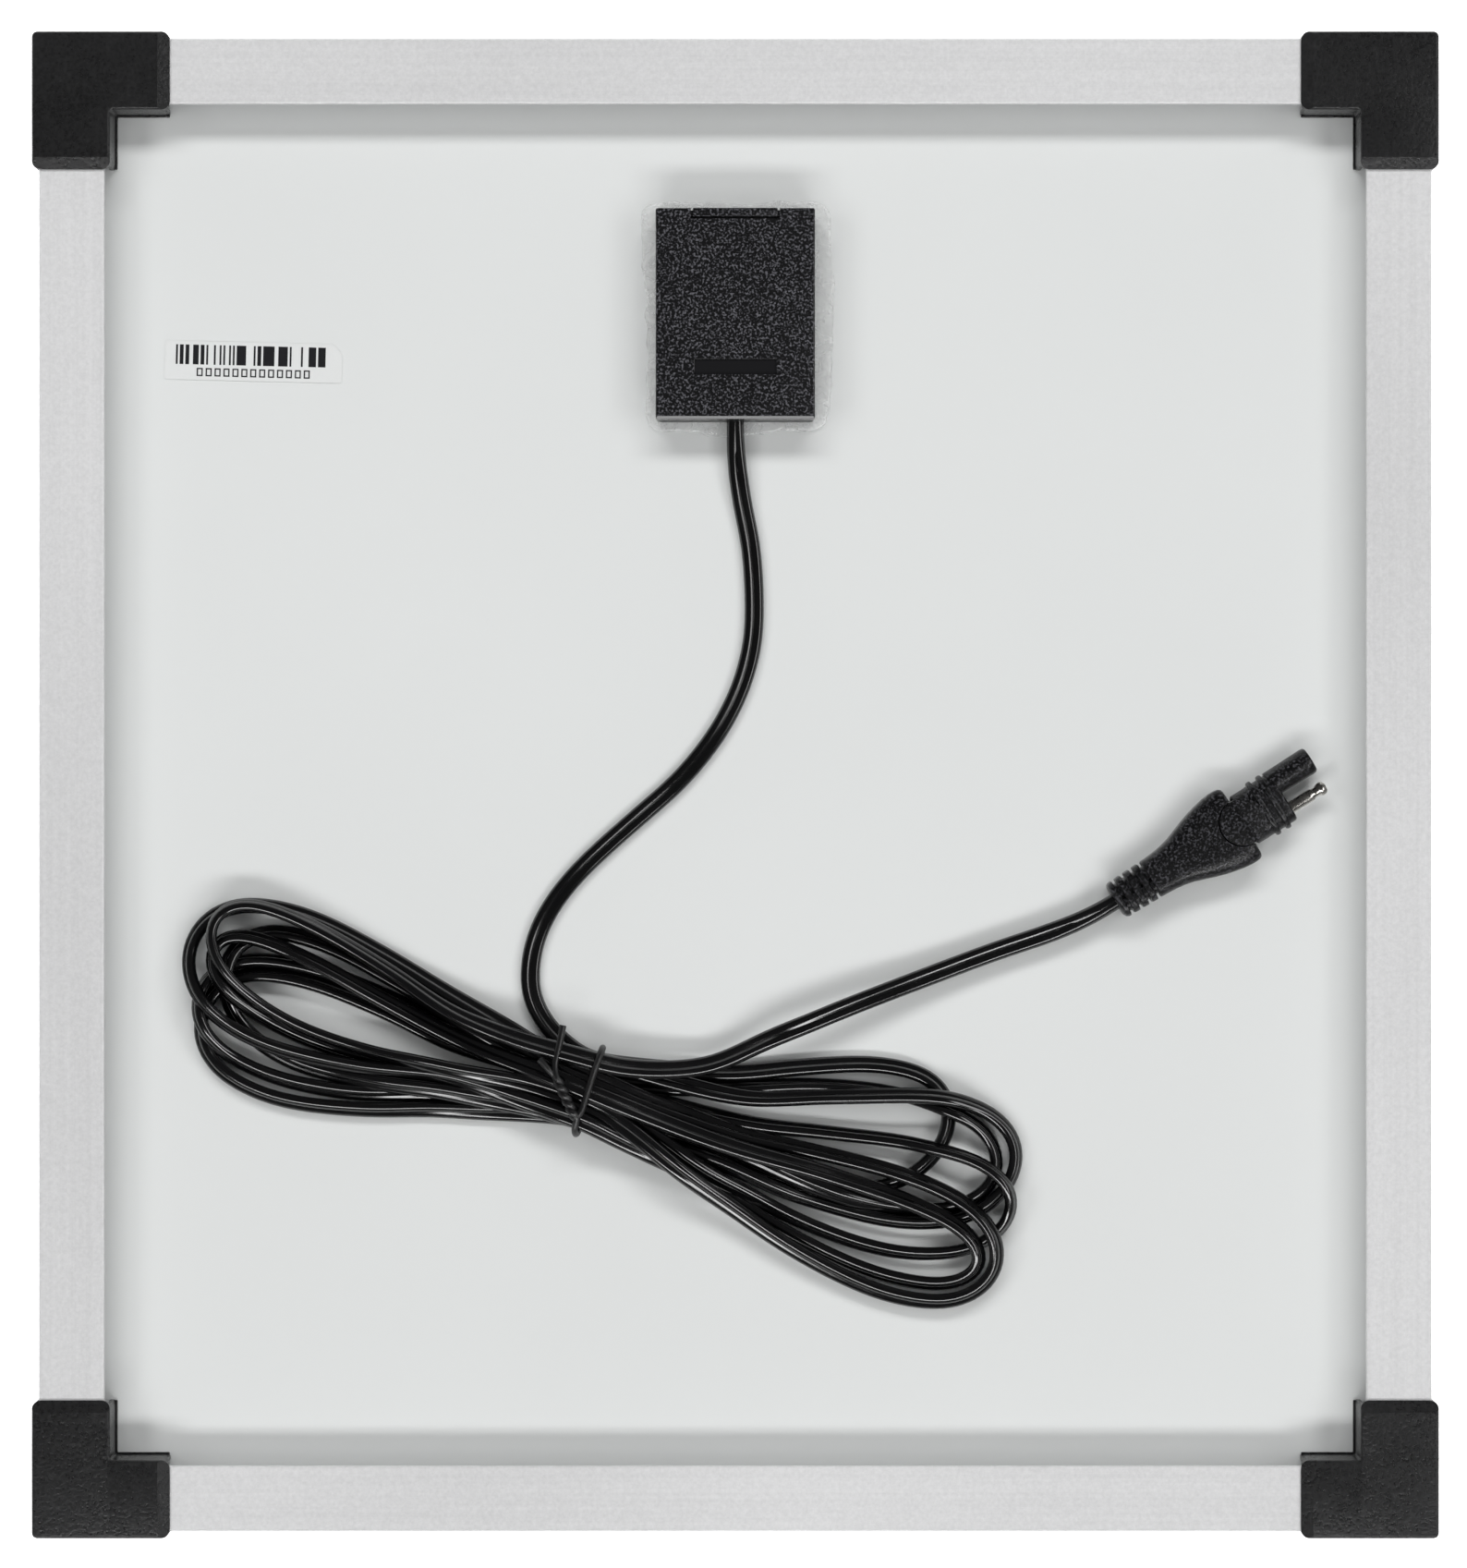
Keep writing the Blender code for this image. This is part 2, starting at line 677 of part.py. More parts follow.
def make_bead(finish):
    """A domed ring of silicone round the box's foot."""
    half_w = BOX_W / 2 + GAP
    half_l = BOX_L / 2 + GAP
    z0 = BACK_Z + LAYER_GAP
    rise = 0.0014
    corner = BOX_CORNER_R + GAP
    sections = []
    for cx, cy, start in ((1, 1, 0), (-1, 1, 90), (-1, -1, 180), (1, -1, 270)):
        middle = (cx * (half_w - corner), cy * (half_l - corner))
        spokes = [start + 90 * k / 3 for k in range(4)]
        for degrees in spokes:
            angle = math.radians(degrees)
            sections.append((middle, corner, angle))
    lengthened = []
    for i, (middle, radius, angle) in enumerate(sections):
        lengthened.append((middle, radius, angle))
        next_middle, _, next_angle = sections[(i + 1) % len(sections)]
        if (Vector(next_middle) - Vector(middle)).length > 0.01:
            for k in range(1, 6):
                between = Vector(middle).lerp(Vector(next_middle), k / 6)
                lengthened.append((tuple(between), radius, angle))
    rings = []
    for middle, radius, angle in lengthened:
        place = math.atan2(middle[1] + radius * math.sin(angle), middle[0] + radius * math.cos(angle))
        spread = bead_width(place)
        ring = []
        for reach, z in ((0, 0), (spread, 0), (spread * 0.75, rise * 0.7), (spread * 0.3, rise), (0, rise)):
            x = middle[0] + (radius + reach) * math.cos(angle)
            y = middle[1] + (radius + reach) * math.sin(angle)
            ring.append((x, y, z0 + z))
        rings.append(ring)
    bead = at_box(sweep("silicone_bead", rings, finish["clear_silicone"], closed=True))
    shade_round(bead)


def make_terminal(name, side, finish):
    """A flat contact on the box's floor, turned up at one end where the ribbon is soldered."""
    z0 = BOX_FLOOR_Z + GAP
    z1 = z0 + 0.0008
    x0, x1 = sorted((side * 0.006, side * 0.0125))
    end = SLOT_Y - 0.0004
    outline = ((-0.009, z0), (end, z0), (end, z0 + 0.0032), (end - 0.0008, z0 + 0.0032), (end - 0.0008, z1), (-0.009, z1))
    sections = [[(x, y, z) for y, z in outline] for x in (x0, x1)]
    at_box(sweep(name, sections, finish["tinned_copper"]))


def make_clamp(finish):
    """The bar that holds the lead down inside the box, on two screws."""
    foot_z = BOX_FLOOR_Z + GAP
    flange_z = foot_z + 0.0016
    arch_z = CORD_HOLE_Z + TUBE_R + GAP
    outline = (
        (-0.007, foot_z),
        (-0.0024, foot_z),
        (-0.0024, arch_z),
        (0.0024, arch_z),
        (0.0024, foot_z),
        (0.007, foot_z),
        (0.007, flange_z),
        (0.0038, flange_z),
        (0.0038, arch_z + 0.0013),
        (-0.0038, arch_z + 0.0013),
        (-0.0038, flange_z),
        (-0.007, flange_z),
    )
    sections = [[(x, y, z) for x, z in outline] for y in (-0.0226, -0.0200)]
    clamp = at_box(sweep("cable_clamp", sections, finish["box_plastic"]))
    screw = ((0, 0.00075), (0.0019, 0.00075), (0.0019, 0.0013), (0.0027, 0.0012), (0.0030, 0.0008))
    for name, side in (("clamp_screw_left", -1), ("clamp_screw_right", 1)):
        x = side * 0.0054
        hole = at_box(turned(name + "_hole", ((-0.001, 0.00105), (0.004, 0.00105)), (0, 0, 0), None, 12))
        made = at_box(turned(name, screw, (0, 0, 0), finish["zinc_screw"], 12))
        shade_round(made)
        for piece in (hole, made):
            piece.rotation_euler.y = -math.pi / 2
            piece.location.x = x
            piece.location.y = BOX_Y - 0.0213
            piece.location.z = foot_z
        cut(clamp, hole)


def make_diode(finish):
    lead = 0.0004
    body = 0.0013
    profile = (
        (-0.0085, lead),
        (-0.0026, lead),
        (-0.0026, body),
        (0.0026, body),
        (0.0026, lead),
        (0.0085, lead),
    )
    z = BOX_FLOOR_Z + GAP + 0.0008 + GAP + lead
    diode = at_box(turned("blocking_diode", profile, (0, -0.001, z), finish["diode_epoxy"], 12))
    shade_round(diode)


def tube(name, points, radius, material, sides_resolution=2):
    """A round tube on a curve with filled ends."""
    curve = bpy.data.curves.new(name, "CURVE")
    curve.dimensions = "3D"
    curve.bevel_depth = radius
    curve.bevel_resolution = sides_resolution
    curve.use_fill_caps = True
    spline = curve.splines.new("POLY")
    spline.points.add(len(points) - 1)
    for target, point in zip(spline.points, points):
        target.co = (*point, 1.0)
    curve.materials.append(material)
    obj = bpy.data.objects.new(name, curve)
    bpy.context.scene.collection.objects.link(obj)
    return obj


def curve_point(p0, p1, p2, p3, t):
    """A point between p1 and p2 on the smooth curve through all four."""
    return 0.5 * (
        2 * p1
        + (p2 - p0) * t
        + (2 * p0 - 5 * p1 + 4 * p2 - p3) * t * t
        + (3 * p1 - p0 - 3 * p2 + p3) * t * t * t
    )


def smooth_route(route, step):
    """Points about step apart on a smooth curve through the route's points."""
    knots = [Vector(point) for point in route]
    ends = [2 * knots[0] - knots[1], *knots, 2 * knots[-1] - knots[-2]]
    fine = [knots[0]]
    for i in range(1, len(ends) - 2):
        for k in range(1, 13):
            fine.append(curve_point(*ends[i - 1 : i + 3], k / 12))
    lengths = [0.0]
    for a, b in zip(fine, fine[1:]):
        lengths.append(lengths[-1] + (b - a).length)
    count = max(2, round(lengths[-1] / step))
    points = []
    for n in range(count + 1):
        target = lengths[-1] * n / count
        i = 0
        while i < len(lengths) - 2 and lengths[i + 1] < target:
            i += 1
        share = (target - lengths[i]) / (lengths[i + 1] - lengths[i])
        points.append(fine[i].lerp(fine[i + 1], share))
    return points


def make_cores(finish):
    """The lead's two cores, from the end of its jacket to the terminals."""
    z = BOX_FLOOR_Z + GAP + 0.0008 + GAP + 0.0010
    for name, side in (("core_left", -1), ("core_right", 1)):
        route = [
            (side * 0.00135, -0.0178, CORD_HOLE_Z),
            (side * 0.0020, -0.0160, CORD_HOLE_Z),
            (side * 0.0045, -0.0132, z),
            (side * 0.0074, -0.0095, z),
            (side * 0.0088, -0.0045, z),
        ]
        points = [(x, y + BOX_Y, height) for x, y, height in route]
        material = finish["core_red"] if side < 0 else finish["core_black"]
        tube(name, smooth_route(points, 0.0022), 0.0010, material)


def at_hank(u, v, z):
    """A place given along and across the hank, in the panel's own frame."""
    x = HANK_X + u * math.cos(HANK_TURN) - v * math.sin(HANK_TURN)
    y = HANK_Y + u * math.sin(HANK_TURN) + v * math.cos(HANK_TURN)
    return (x, y, z)


def make_hank(finish):
    """The folded bundle's outer shape, drawn in at its waist where the tie goes round."""
    sections = []
    for along, low, high, z0, z1 in HANK_SECTIONS:
        edge = min(0.0024, (high - low) / 3, (z1 - z0) / 3)
        corners = ((low, z0, edge), (high, z0, edge), (high, z1, edge), (low, z1, edge))
        sections.append([at_hank(along, v, z) for v, z in rounded(corners)])
    shade_round(sweep("cable_hank", sections, finish["cable_jacket"]))


def make_tie(finish):
    """Wire once round the waist, with a free end lying back over the bundle."""
    side = WAIST_HALF + GAP + TIE_WIRE_R
    low = WAIST_Z0 - GAP - TIE_WIRE_R
    high = WAIST_Z1 + GAP + TIE_WIRE_R
    route = [
        (-0.0095, 0.0135, high),
        (-0.0085, 0.0060, high),
        (-0.0072, 0.0000, high),
        (-0.0040, -0.0040, high),
        (-0.0012, -0.0072, high),
    ]
    around = rounded(((-side, high, 0.003), (-side, low, 0.003), (side, low, 0.003), (side, high, 0.003)), 4)
    route += [(0.0, v, z) for v, z in around]
    route.append((0.0004, -0.0038, high))
    points = [at_hank(*place) for place in route]
    tube("twist_tie", smooth_route(points, 0.0024), TIE_WIRE_R, finish["tie_plastic"])


def make_lead(finish):
    tube("cable_lead_in", smooth_route(LEAD_IN_ROUTE, TUBE_STEP), TUBE_R, finish["cable_jacket"])
    tube("cable_lead_out", smooth_route(LEAD_OUT_ROUTE, TUBE_STEP), TUBE_R, finish["cable_jacket"])
    make_hank(finish)
    make_tie(finish)


def plug_empty():
    empty = bpy.data.objects.new("connector_axis", None)
    empty.location = (PLUG_X, PLUG_Y, PLUG_Z)
    empty.rotation_euler.z = PLUG_TURN
    bpy.context.scene.collection.objects.link(empty)
    return empty


def plug_section(along, half_w, half_t, corner):
    corners = (
        (-half_w, -half_t, corner),
        (half_w, -half_t, corner),
        (half_w, half_t, corner),
        (-half_w, half_t, corner),
    )
    return [(along, n, h) for n, h in rounded(corners, 4)]


def make_overmould(parent, finish):
    """The moulded grip: a ribbed strain relief that widens to two shoulders round the nose's tongue."""
    thick = PLUG_HALF_THICK
    stations = [(0.0, 0.0044, 0.0044), (0.0006, 0.0049, PLUG_HALF_THICK)]
    for k in range(4):
        start = 0.0022 + 0.0026 * k
        stations += [(start, 0.0050, thick), (start + 0.0001, 0.0041, 0.0040)]
        stations += [(start + 0.0011, 0.0041, 0.0040), (start + 0.0012, 0.0050, thick)]
    stations += [
        (0.0120, 0.0050, thick),
        (0.0160, 0.0055, thick),
        (0.0200, 0.0063, thick),
        (0.0240, 0.0077, thick),
        (0.0280, 0.0091, thick),
        (0.0320, 0.0101, thick),
        (0.0350, 0.0104, thick),
        (0.0366, 0.0102, thick),
        (0.0374, 0.0095, 0.0042),
    ]
    sections = [plug_section(s, w, t, min(0.0032, t * 0.8)) for s, w, t in stations]
    grip = sweep("connector_overmould", sections, finish["connector_rubber"])
    pocket = prism("tongue_pocket", arc((0.0373, 0), 0.0061, 90, 270, 10) + [(0.05, -0.0061), (0.05, 0.0061)], -0.02, 0.02, None)
    cut(grip, pocket)
    shade_round(grip)
    for piece in (grip, pocket):
        piece.parent = parent


def make_housing(parent, finish):
    """The nose: a round-ended tongue, two ring ribs and the barrel that shrouds the socket."""
    nose = ((0.0377, 0.0058, 0.0036), (0.0383, 0.0070, 0.0037), (0.0435, 0.0070, 0.0037))
    rings = []
    for start in (0.0435, 0.0465):
        rings += [(start, 0.0077, 0.0044), (start + 0.0012, 0.0077, 0.0044)]
        rings += [(start + 0.0013, 0.0070, 0.0037), (start + 0.0029, 0.0070, 0.0037)]
    stations = [*nose, *rings, (0.0498, 0.0069, 0.0036)]
    sections = [plug_section(s, w, t, t * 0.96) for s, w, t in stations]
    housing = sweep("connector_housing", sections, finish["connector_rubber"])
    tongue = prism("tongue", arc((0.0373, 0), 0.0058, 90, 270, 10) + [(0.0390, -0.0058), (0.0390, 0.0058)], -0.0037, 0.0037, None)
    barrel = turned("barrel", ((0.0485, 0.0034), (0.0600, 0.0035), (0.0607, 0.0032)), (0, BARREL_N, 0), None)
    socket_bore = turned("socket_bore", ((0.0462, 0.0025), (0.07, 0.0025)), (0, BARREL_N, 0), None)
    pin_bore = turned("pin_bore", ((0.0440, 0.0020), (0.07, 0.0020)), (0, PIN_N, 0), None)
    weld_on(housing, tongue)
    weld_on(housing, barrel)
    cut(housing, socket_bore)
    cut(housing, pin_bore)
    shade_round(housing)
    for piece in (housing, tongue, barrel, socket_bore, pin_bore):
        piece.parent = parent


def make_contacts(parent, finish):
    pin_profile = (
        (0.0443, 0.0016),
        (0.0560, 0.0016),
        (0.0568, 0.0013),
        (0.0578, 0.0013),
        (0.0586, 0.0018),
        (0.0597, 0.0018),
        (0.0604, 0.0012),
    )
    pin = turned("connector_pin", pin_profile, (0, PIN_N, 0), finish["nickel_plate"])
    socket_profile = ((0.0465, 0.0022), (0.0590, 0.0022), (0.0590, 0.0016), (0.0480, 0.0016))
    socket = turned("connector_socket", socket_profile, (0, BARREL_N, 0), finish["nickel_plate"])
    for piece in (pin, socket):
        shade_round(piece)
        piece.parent = parent


def main():
    clear_scene()
    finish = make_finishes()
    make_rails(finish)
    make_corners(finish)
    make_laminate(finish)
    make_box_base(finish)
    make_box_lid(finish)
    make_bead(finish)
    make_terminal("terminal_left", -1, finish)
    make_terminal("terminal_right", 1, finish)
    make_clamp(finish)
    make_diode(finish)
    make_cores(finish)
    make_lead(finish)
    parent = plug_empty()
    make_overmould(parent, finish)
    make_housing(parent, finish)
    make_contacts(parent, finish)


main()
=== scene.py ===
import math

import bmesh
import bpy
import numpy as np
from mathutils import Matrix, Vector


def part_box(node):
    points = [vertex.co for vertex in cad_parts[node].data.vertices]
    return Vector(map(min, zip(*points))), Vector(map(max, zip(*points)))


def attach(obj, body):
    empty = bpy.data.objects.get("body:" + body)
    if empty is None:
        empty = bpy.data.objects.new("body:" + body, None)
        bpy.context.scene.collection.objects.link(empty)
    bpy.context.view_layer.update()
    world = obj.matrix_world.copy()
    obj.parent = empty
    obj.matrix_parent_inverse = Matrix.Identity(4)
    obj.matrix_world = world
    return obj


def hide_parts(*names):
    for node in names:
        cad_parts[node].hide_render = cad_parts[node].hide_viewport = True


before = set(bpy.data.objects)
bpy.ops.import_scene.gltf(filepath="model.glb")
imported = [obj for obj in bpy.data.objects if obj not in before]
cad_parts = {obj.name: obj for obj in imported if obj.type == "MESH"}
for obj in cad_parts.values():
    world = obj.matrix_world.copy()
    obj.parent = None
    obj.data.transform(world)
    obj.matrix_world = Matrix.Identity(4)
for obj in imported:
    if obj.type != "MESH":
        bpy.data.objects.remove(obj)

bl_info = {
    "name": "Framed Solar Panel",
    "version": (1, 0, 0),
    "blender": (4, 5, 0),
    "location": "3D View > Sidebar > Solar Panel",
    "description": "Pieces and finishes of a small solar panel with a junction box and a tied lead",
    "category": "Object",
}

MM = 0.001

# Heights and sizes that the pieces share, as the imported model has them
BACK_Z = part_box("backsheet")[1][2]
CAP_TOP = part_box("corner_cap_top_right")[1][2]
LID_LOW, LID_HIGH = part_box("junction_box_lid")
BOX_Y = (LID_LOW[1] + LID_HIGH[1]) / 2

# The lead's route outside its bundle: out of the box to the bundle, and on to the connector
LEAD_IN_ROUTE = (
    (0.0000, 0.0998, 0.0124),
    (0.0000, 0.0918, 0.0124),
    (0.0001, 0.0850, 0.0120),
    (0.0010, 0.0760, 0.0109),
    (0.0023, 0.0685, 0.0099),
    (0.0039, 0.0604, 0.0097),
    (0.0048, 0.0470, 0.0097),
    (0.0044, 0.0365, 0.0097),
    (0.0021, 0.0268, 0.0097),
    (-0.0012, 0.0190, 0.0097),
    (-0.0062, 0.0107, 0.0097),
    (-0.0145, 0.0008, 0.0097),
    (-0.0235, -0.0072, 0.0097),
    (-0.0318, -0.0145, 0.0097),
    (-0.0390, -0.0213, 0.0097),
    (-0.0447, -0.0280, 0.0097),
    (-0.0487, -0.0345, 0.0097),
    (-0.0511, -0.0410, 0.0097),
    (-0.0520, -0.0478, 0.0097),
    (-0.0512, -0.0546, 0.0098),
)
LEAD_OUT_ROUTE = (
    (0.0000, -0.0676, 0.0172),
    (0.0090, -0.0638, 0.0170),
    (0.0180, -0.0602, 0.0166),
    (0.0288, -0.0558, 0.0158),
    (0.0473, -0.0488, 0.0136),
    (0.0659, -0.0419, 0.0128),
    (0.0798, -0.0372, 0.0130),
    (0.0889, -0.0334, 0.0133),
    (0.0956, -0.0296, 0.0133),
    (0.0994, -0.0272, 0.0133),
)

# The bundle, about the middle of its tie. Lengths are in millimetres.
HANK_CENTRE = (-0.0369, -0.0771)
HANK_TURN = math.radians(-15.6)
WAIST_HALF = 10.2
WAIST_LOW = 11.6
WAIST_HIGH = 18.2

# Each turn's reach, how far across its end lies, how far its middle bows, and its half width
RIGHT_TURNS = (
    (90, 14.5, -2.5, 16.5),
    (105, 7.0, 1.0, 14.5),
    (109, 10.0, -3.5, 16.0),
    (111, -1.0, -5.5, 14.0),
    (107, -15.5, -4.5, 10.0),
    (111, -15.0, -4.0, 15.0),
)
LEFT_TURNS = (
    (100, -7.5, -3.0, 15.5),
    (101, -3.0, -2.0, 14.5),
    (97, 5.5, -3.0, 15.5),
    (101, 9.0, -5.0, 9.5),
    (107, 8.0, 0.0, 17.0),
    (103, 14.5, -3.0, 12.5),
)
# Where each pass through the tie lies: across the bundle and above the panel
RIGHT_PASSES = (
    (7.6, 11.7),
    (2.6, 12.0),
    (7.6, 14.0),
    (2.6, 14.3),
    (-0.4, 18.3),
    (2.8, 16.4),
    (7.6, 16.4),
)
LEFT_PASSES = (
    (-7.6, 11.7),
    (-2.6, 12.0),
    (-7.6, 14.0),
    (-2.6, 14.3),
    (-7.6, 16.3),
    (-3.2, 16.7),
)

# The connector, about the middle of its strain relief's end
PLUG_SPOT = (0.0959, -0.0294, 0.0133)
PLUG_TURN = math.radians(32.2)
PIN_Y = -3.6 * MM
SOCKET_Y = 4.1 * MM


def math_step(operation, swapped=False):
    """One arithmetic method of Wire, which adds a Math node."""

    def method(self, other):
        left, right = (other, self) if swapped else (self, other)
        return self.finish.node("ShaderNodeMath", {"operation": operation}, {0: left, 1: right})

    return method


class Wire:
    """A node's socket that takes part in arithmetic."""

    def __init__(self, finish, socket):
        self.finish = finish
        self.socket = socket

    __add__ = math_step("ADD")
    __radd__ = math_step("ADD", swapped=True)
    __sub__ = math_step("SUBTRACT")
    __rsub__ = math_step("SUBTRACT", swapped=True)
    __mul__ = math_step("MULTIPLY")
    __rmul__ = math_step("MULTIPLY", swapped=True)
    __truediv__ = math_step("DIVIDE")
    __mod__ = math_step("FLOORED_MODULO")
    __lt__ = math_step("LESS_THAN")
    __gt__ = math_step("GREATER_THAN")

    def __abs__(self):
        return self.finish.node("ShaderNodeMath", {"operation": "ABSOLUTE"}, {0: self})


class Finish:
    """A procedural material: a Principled shader and the nodes that feed it."""

    def __init__(self, name, constants):
        self.material = bpy.data.materials.new(name)
        self.material.use_nodes = True
        self.tree = self.material.node_tree
        self.shader = self.tree.nodes["Principled BSDF"]
        self.feed(constants)

    def feed(self, values):
        """Sets or links the shader's sockets."""
        for name, value in values.items():
            self.connect(self.shader.inputs[name], value)

    def coat(self, colour, roughness, relief=None):
        """Feeds what every finish has, and gives the finished material."""
        self.feed({"Base Color": colour, "Roughness": roughness})
        if relief:
            self.feed({"Normal": relief})
        return self.material

    def connect(self, socket, value):
        if isinstance(value, Wire):
            self.tree.links.new(value.socket, socket)
        else:
            socket.default_value = value

    def node(self, kind, settings=None, inputs=None, output=0):
        """Any node: its type, its settings, its sockets' values or links, and the output to use."""
        node = self.tree.nodes.new(kind)
        for name, value in (settings or {}).items():
            setattr(node, name, value)
        for name, value in (inputs or {}).items():
            self.connect(node.inputs[name], value)
        return Wire(self, node.outputs[output])

    def place(self, scale=(1, 1, 1)):
        """Object coordinates, stretched."""
        coordinates = self.node("ShaderNodeTexCoord", output="Object")
        return self.node("ShaderNodeMapping", None, {"Vector": coordinates, "Scale": scale})

    def axes(self, vector):
        return [
            self.node("ShaderNodeSeparateXYZ", None, {"Vector": vector}, name) for name in "XYZ"
        ]

    def noise(self, scale, detail=2.0, roughness=0.5, vector=None, distortion=0.0):
        inputs = {
            "Vector": vector or self.place(),
            "Scale": scale,
            "Detail": detail,
            "Roughness": roughness,
            "Distortion": distortion,
        }
        return self.node("ShaderNodeTexNoise", None, inputs)

    def cells(self, scale):
        inputs = {"Vector": self.place(), "Scale": scale}
        return self.node("ShaderNodeTexVoronoi", {"feature": "SMOOTH_F1"}, inputs)

    def spread(self, value, low, high, start=0.0, end=1.0):
        """Carries value from low..high to start..end and holds it there beyond."""
        inputs = {"Value": value, "From Min": low, "From Max": high, "To Min": start, "To Max": end}
        return self.node("ShaderNodeMapRange", {"clamp": True}, inputs)

    def tint(self, factor, first, second):
        """A colour between first and second."""
        inputs = {0: factor, 6: first, 7: second}
        return self.node("ShaderNodeMix", {"data_type": "RGBA"}, inputs, 2)

    def shades(self, factor, colour, low, high):
        """One colour, between low and high times as bright."""
        return self.tint(factor, shade_of(colour, low), shade_of(colour, high))

    def relief(self, height, depth, strength):
        """A bump from a height, of that depth in metres."""
        inputs = {"Strength": strength, "Distance": depth, "Height": height}
        return self.node("ShaderNodeBump", None, inputs)


def shade_of(colour, factor):
    return (colour[0] * factor, colour[1] * factor, colour[2] * factor, 1.0)


def aluminium(name, colour, along):
    """Satin anodised extrusion: faint draw lines along its length and a fine grain."""
    finish = Finish(name, {"Metallic": 0.1, "Specular IOR Level": 0.35})
    stretch = [900.0, 900.0, 900.0]
    stretch[along] = 6.0
    lines = finish.noise(1.0, 3.0, 0.6, finish.place(stretch))
    grain = finish.noise(1100.0, 2.0, 0.6)
    cloud = finish.noise(5.0)
    tone = finish.spread(lines * 0.2 + grain * 0.4 + cloud * 0.4, 0.36, 0.64)
    return finish.coat(
        finish.shades(tone, colour, 0.90, 1.09),
        finish.spread(grain * 0.5 + cloud * 0.5, 0.3, 0.7, 0.40, 0.52),
        finish.relief(lines * 0.4 + grain * 0.6, 0.00002, 0.5),
    )


def grained_plastic(name, colour):
    """Black moulded plastic with a fine leather grain, its colour lighter where the grain stands
    high and in broad patches of wear.
    """
    finish = Finish(name, {"Specular IOR Level": 0.42})
    warp = finish.noise(500.0, 3.0, 0.6)
    cells = finish.cells(1150.0)
    pores = finish.noise(1300.0, 3.0, 0.55, distortion=1.6)
    height = cells * 0.55 + pores * 0.6 + warp * 0.35
    wear = finish.spread(finish.noise(60.0, 3.0), 0.35, 0.7)
    tone = finish.spread(height, 0.45, 0.95)
    return finish.coat(
        finish.shades(tone * 0.7 + wear * 0.3, colour, 0.55, 1.5),
        finish.spread(height + wear * 0.3, 0.4, 1.2, 0.24, 0.34),
        finish.relief(height, 0.00016, 0.7),
    )


def sparked_plastic(name, colour, above=None, beyond=-1.0, polish=0.16):
    """Black plastic with a coarse texture and painted glints as bright specks, left smooth below a
    height and at one end.
    """
    finish = Finish(name, {"Specular IOR Level": 0.45})
    grit = finish.noise(1700.0, 2.0, 0.6)
    lumps = finish.noise(700.0)
    height = grit * 0.9 + lumps * 0.15
    # Bright specks painted into the colour stand in for the glints of the spark texture.
    painted_glints = finish.spread(grit, 0.52, 0.64)
    rough = finish.spread(grit, 0.35, 0.7, 0.36, 0.24)
    if above is not None:
        _, y, z = finish.axes(finish.place())
        textured = (z > above) * (y > beyond)
        painted_glints = painted_glints * textured + 0.05 * (1 - textured)
        rough = rough * textured + polish * (1 - textured)
        height = height * textured
    return finish.coat(
        finish.shades(painted_glints, colour, 0.55, 13.0), rough, finish.relief(height, 0.00011, 0.9)
    )


def jacket(name, colour, roughness=0.13):
    """Smooth cord jacket, glossy, with dull patches from handling."""
    finish = Finish(name, {"Specular IOR Level": 0.95})
    handled = finish.noise(70.0, 4.0, 0.6)
    return finish.coat(
        finish.shades(handled, colour, 0.6, 1.4),
        finish.spread(handled, 0.3, 0.7, roughness - 0.04, roughness + 0.10),
        finish.relief(handled, 0.00005, 0.3),
    )


def white_film(name, colour):
    """The backsheet: a white film with a slight sheen and a very shallow unevenness."""
    finish = Finish(name, {"Specular IOR Level": 0.35})
    cloud = finish.noise(9.0, 3.0, 0.55)
    dimples = finish.noise(320.0)
    return finish.coat(
        finish.shades(cloud, colour, 0.985, 1.015),
        finish.spread(cloud, 0.35, 0.65, 0.42, 0.52),
        finish.relief(dimples * 0.3 + cloud, 0.00008, 0.25),
    )


def clear_silicone(name, colour):
    """Translucent sealant smeared by a finger."""
    finish = Finish(name, {"IOR": 1.45, "Specular IOR Level": 1.0})
    smears = finish.noise(170.0, 3.0, distortion=0.8)
    finish.feed({"Alpha": finish.spread(smears, 0.35, 0.65, 0.14, 0.36)})
    return finish.coat(
        finish.shades(smears, colour, 0.96, 1.0),
        finish.spread(smears, 0.3, 0.7, 0.05, 0.16),
        finish.relief(smears, 0.0006, 0.6),
    )


def label_paper(name, colour, low, high, turn):
    """A white sticker with a row of made-up bars and a row of plain empty frames under it."""
    finish = Finish(name, {"Specular IOR Level": 0.4})
    coordinates = finish.node("ShaderNodeTexCoord", output="Object")
    middle = ((low[0] + high[0]) / 2, (low[1] + high[1]) / 2, 0.0)
    centred = finish.node(
        "ShaderNodeVectorMath", {"operation": "SUBTRACT"}, {0: coordinates, 1: middle}
    )
    turned = {"Vector": centred, "Rotation": (0, 0, -turn)}
    x, y, _ = finish.axes(finish.node("ShaderNodeMapping", None, turned))
    bar = 0.48 * MM
    whole = finish.node("ShaderNodeMath", {"operation": "FLOOR"}, {0: x / bar})
    chance = finish.node("ShaderNodeTexWhiteNoise", {"noise_dimensions": "1D"}, {"W": whole})
    bars = (chance > 0.42) * (abs(x) < 19.7 * MM) * (abs(y - 1.5 * MM) < 2.5 * MM)
    pitch = 2.26 * MM
    across = abs((x + pitch / 2) % pitch - pitch / 2)
    down = abs(y + 2.9 * MM)
    outside = (across < 0.78 * MM) * (down < 1.05 * MM)
    frames = outside * (1 - (across < 0.42 * MM) * (down < 0.7 * MM))
    printed = bars + frames * (abs(x) < 6.5 * pitch)
    fibres = finish.noise(900.0, 3.0)
    paper = finish.shades(fibres, colour, 0.97, 1.0)
    return finish.coat(
        finish.tint(printed, paper, (0.014, 0.014, 0.016, 1.0)),
        finish.spread(fibres, 0.3, 0.7, 0.34, 0.44),
        finish.relief(fibres, 0.00003, 0.4),
    )


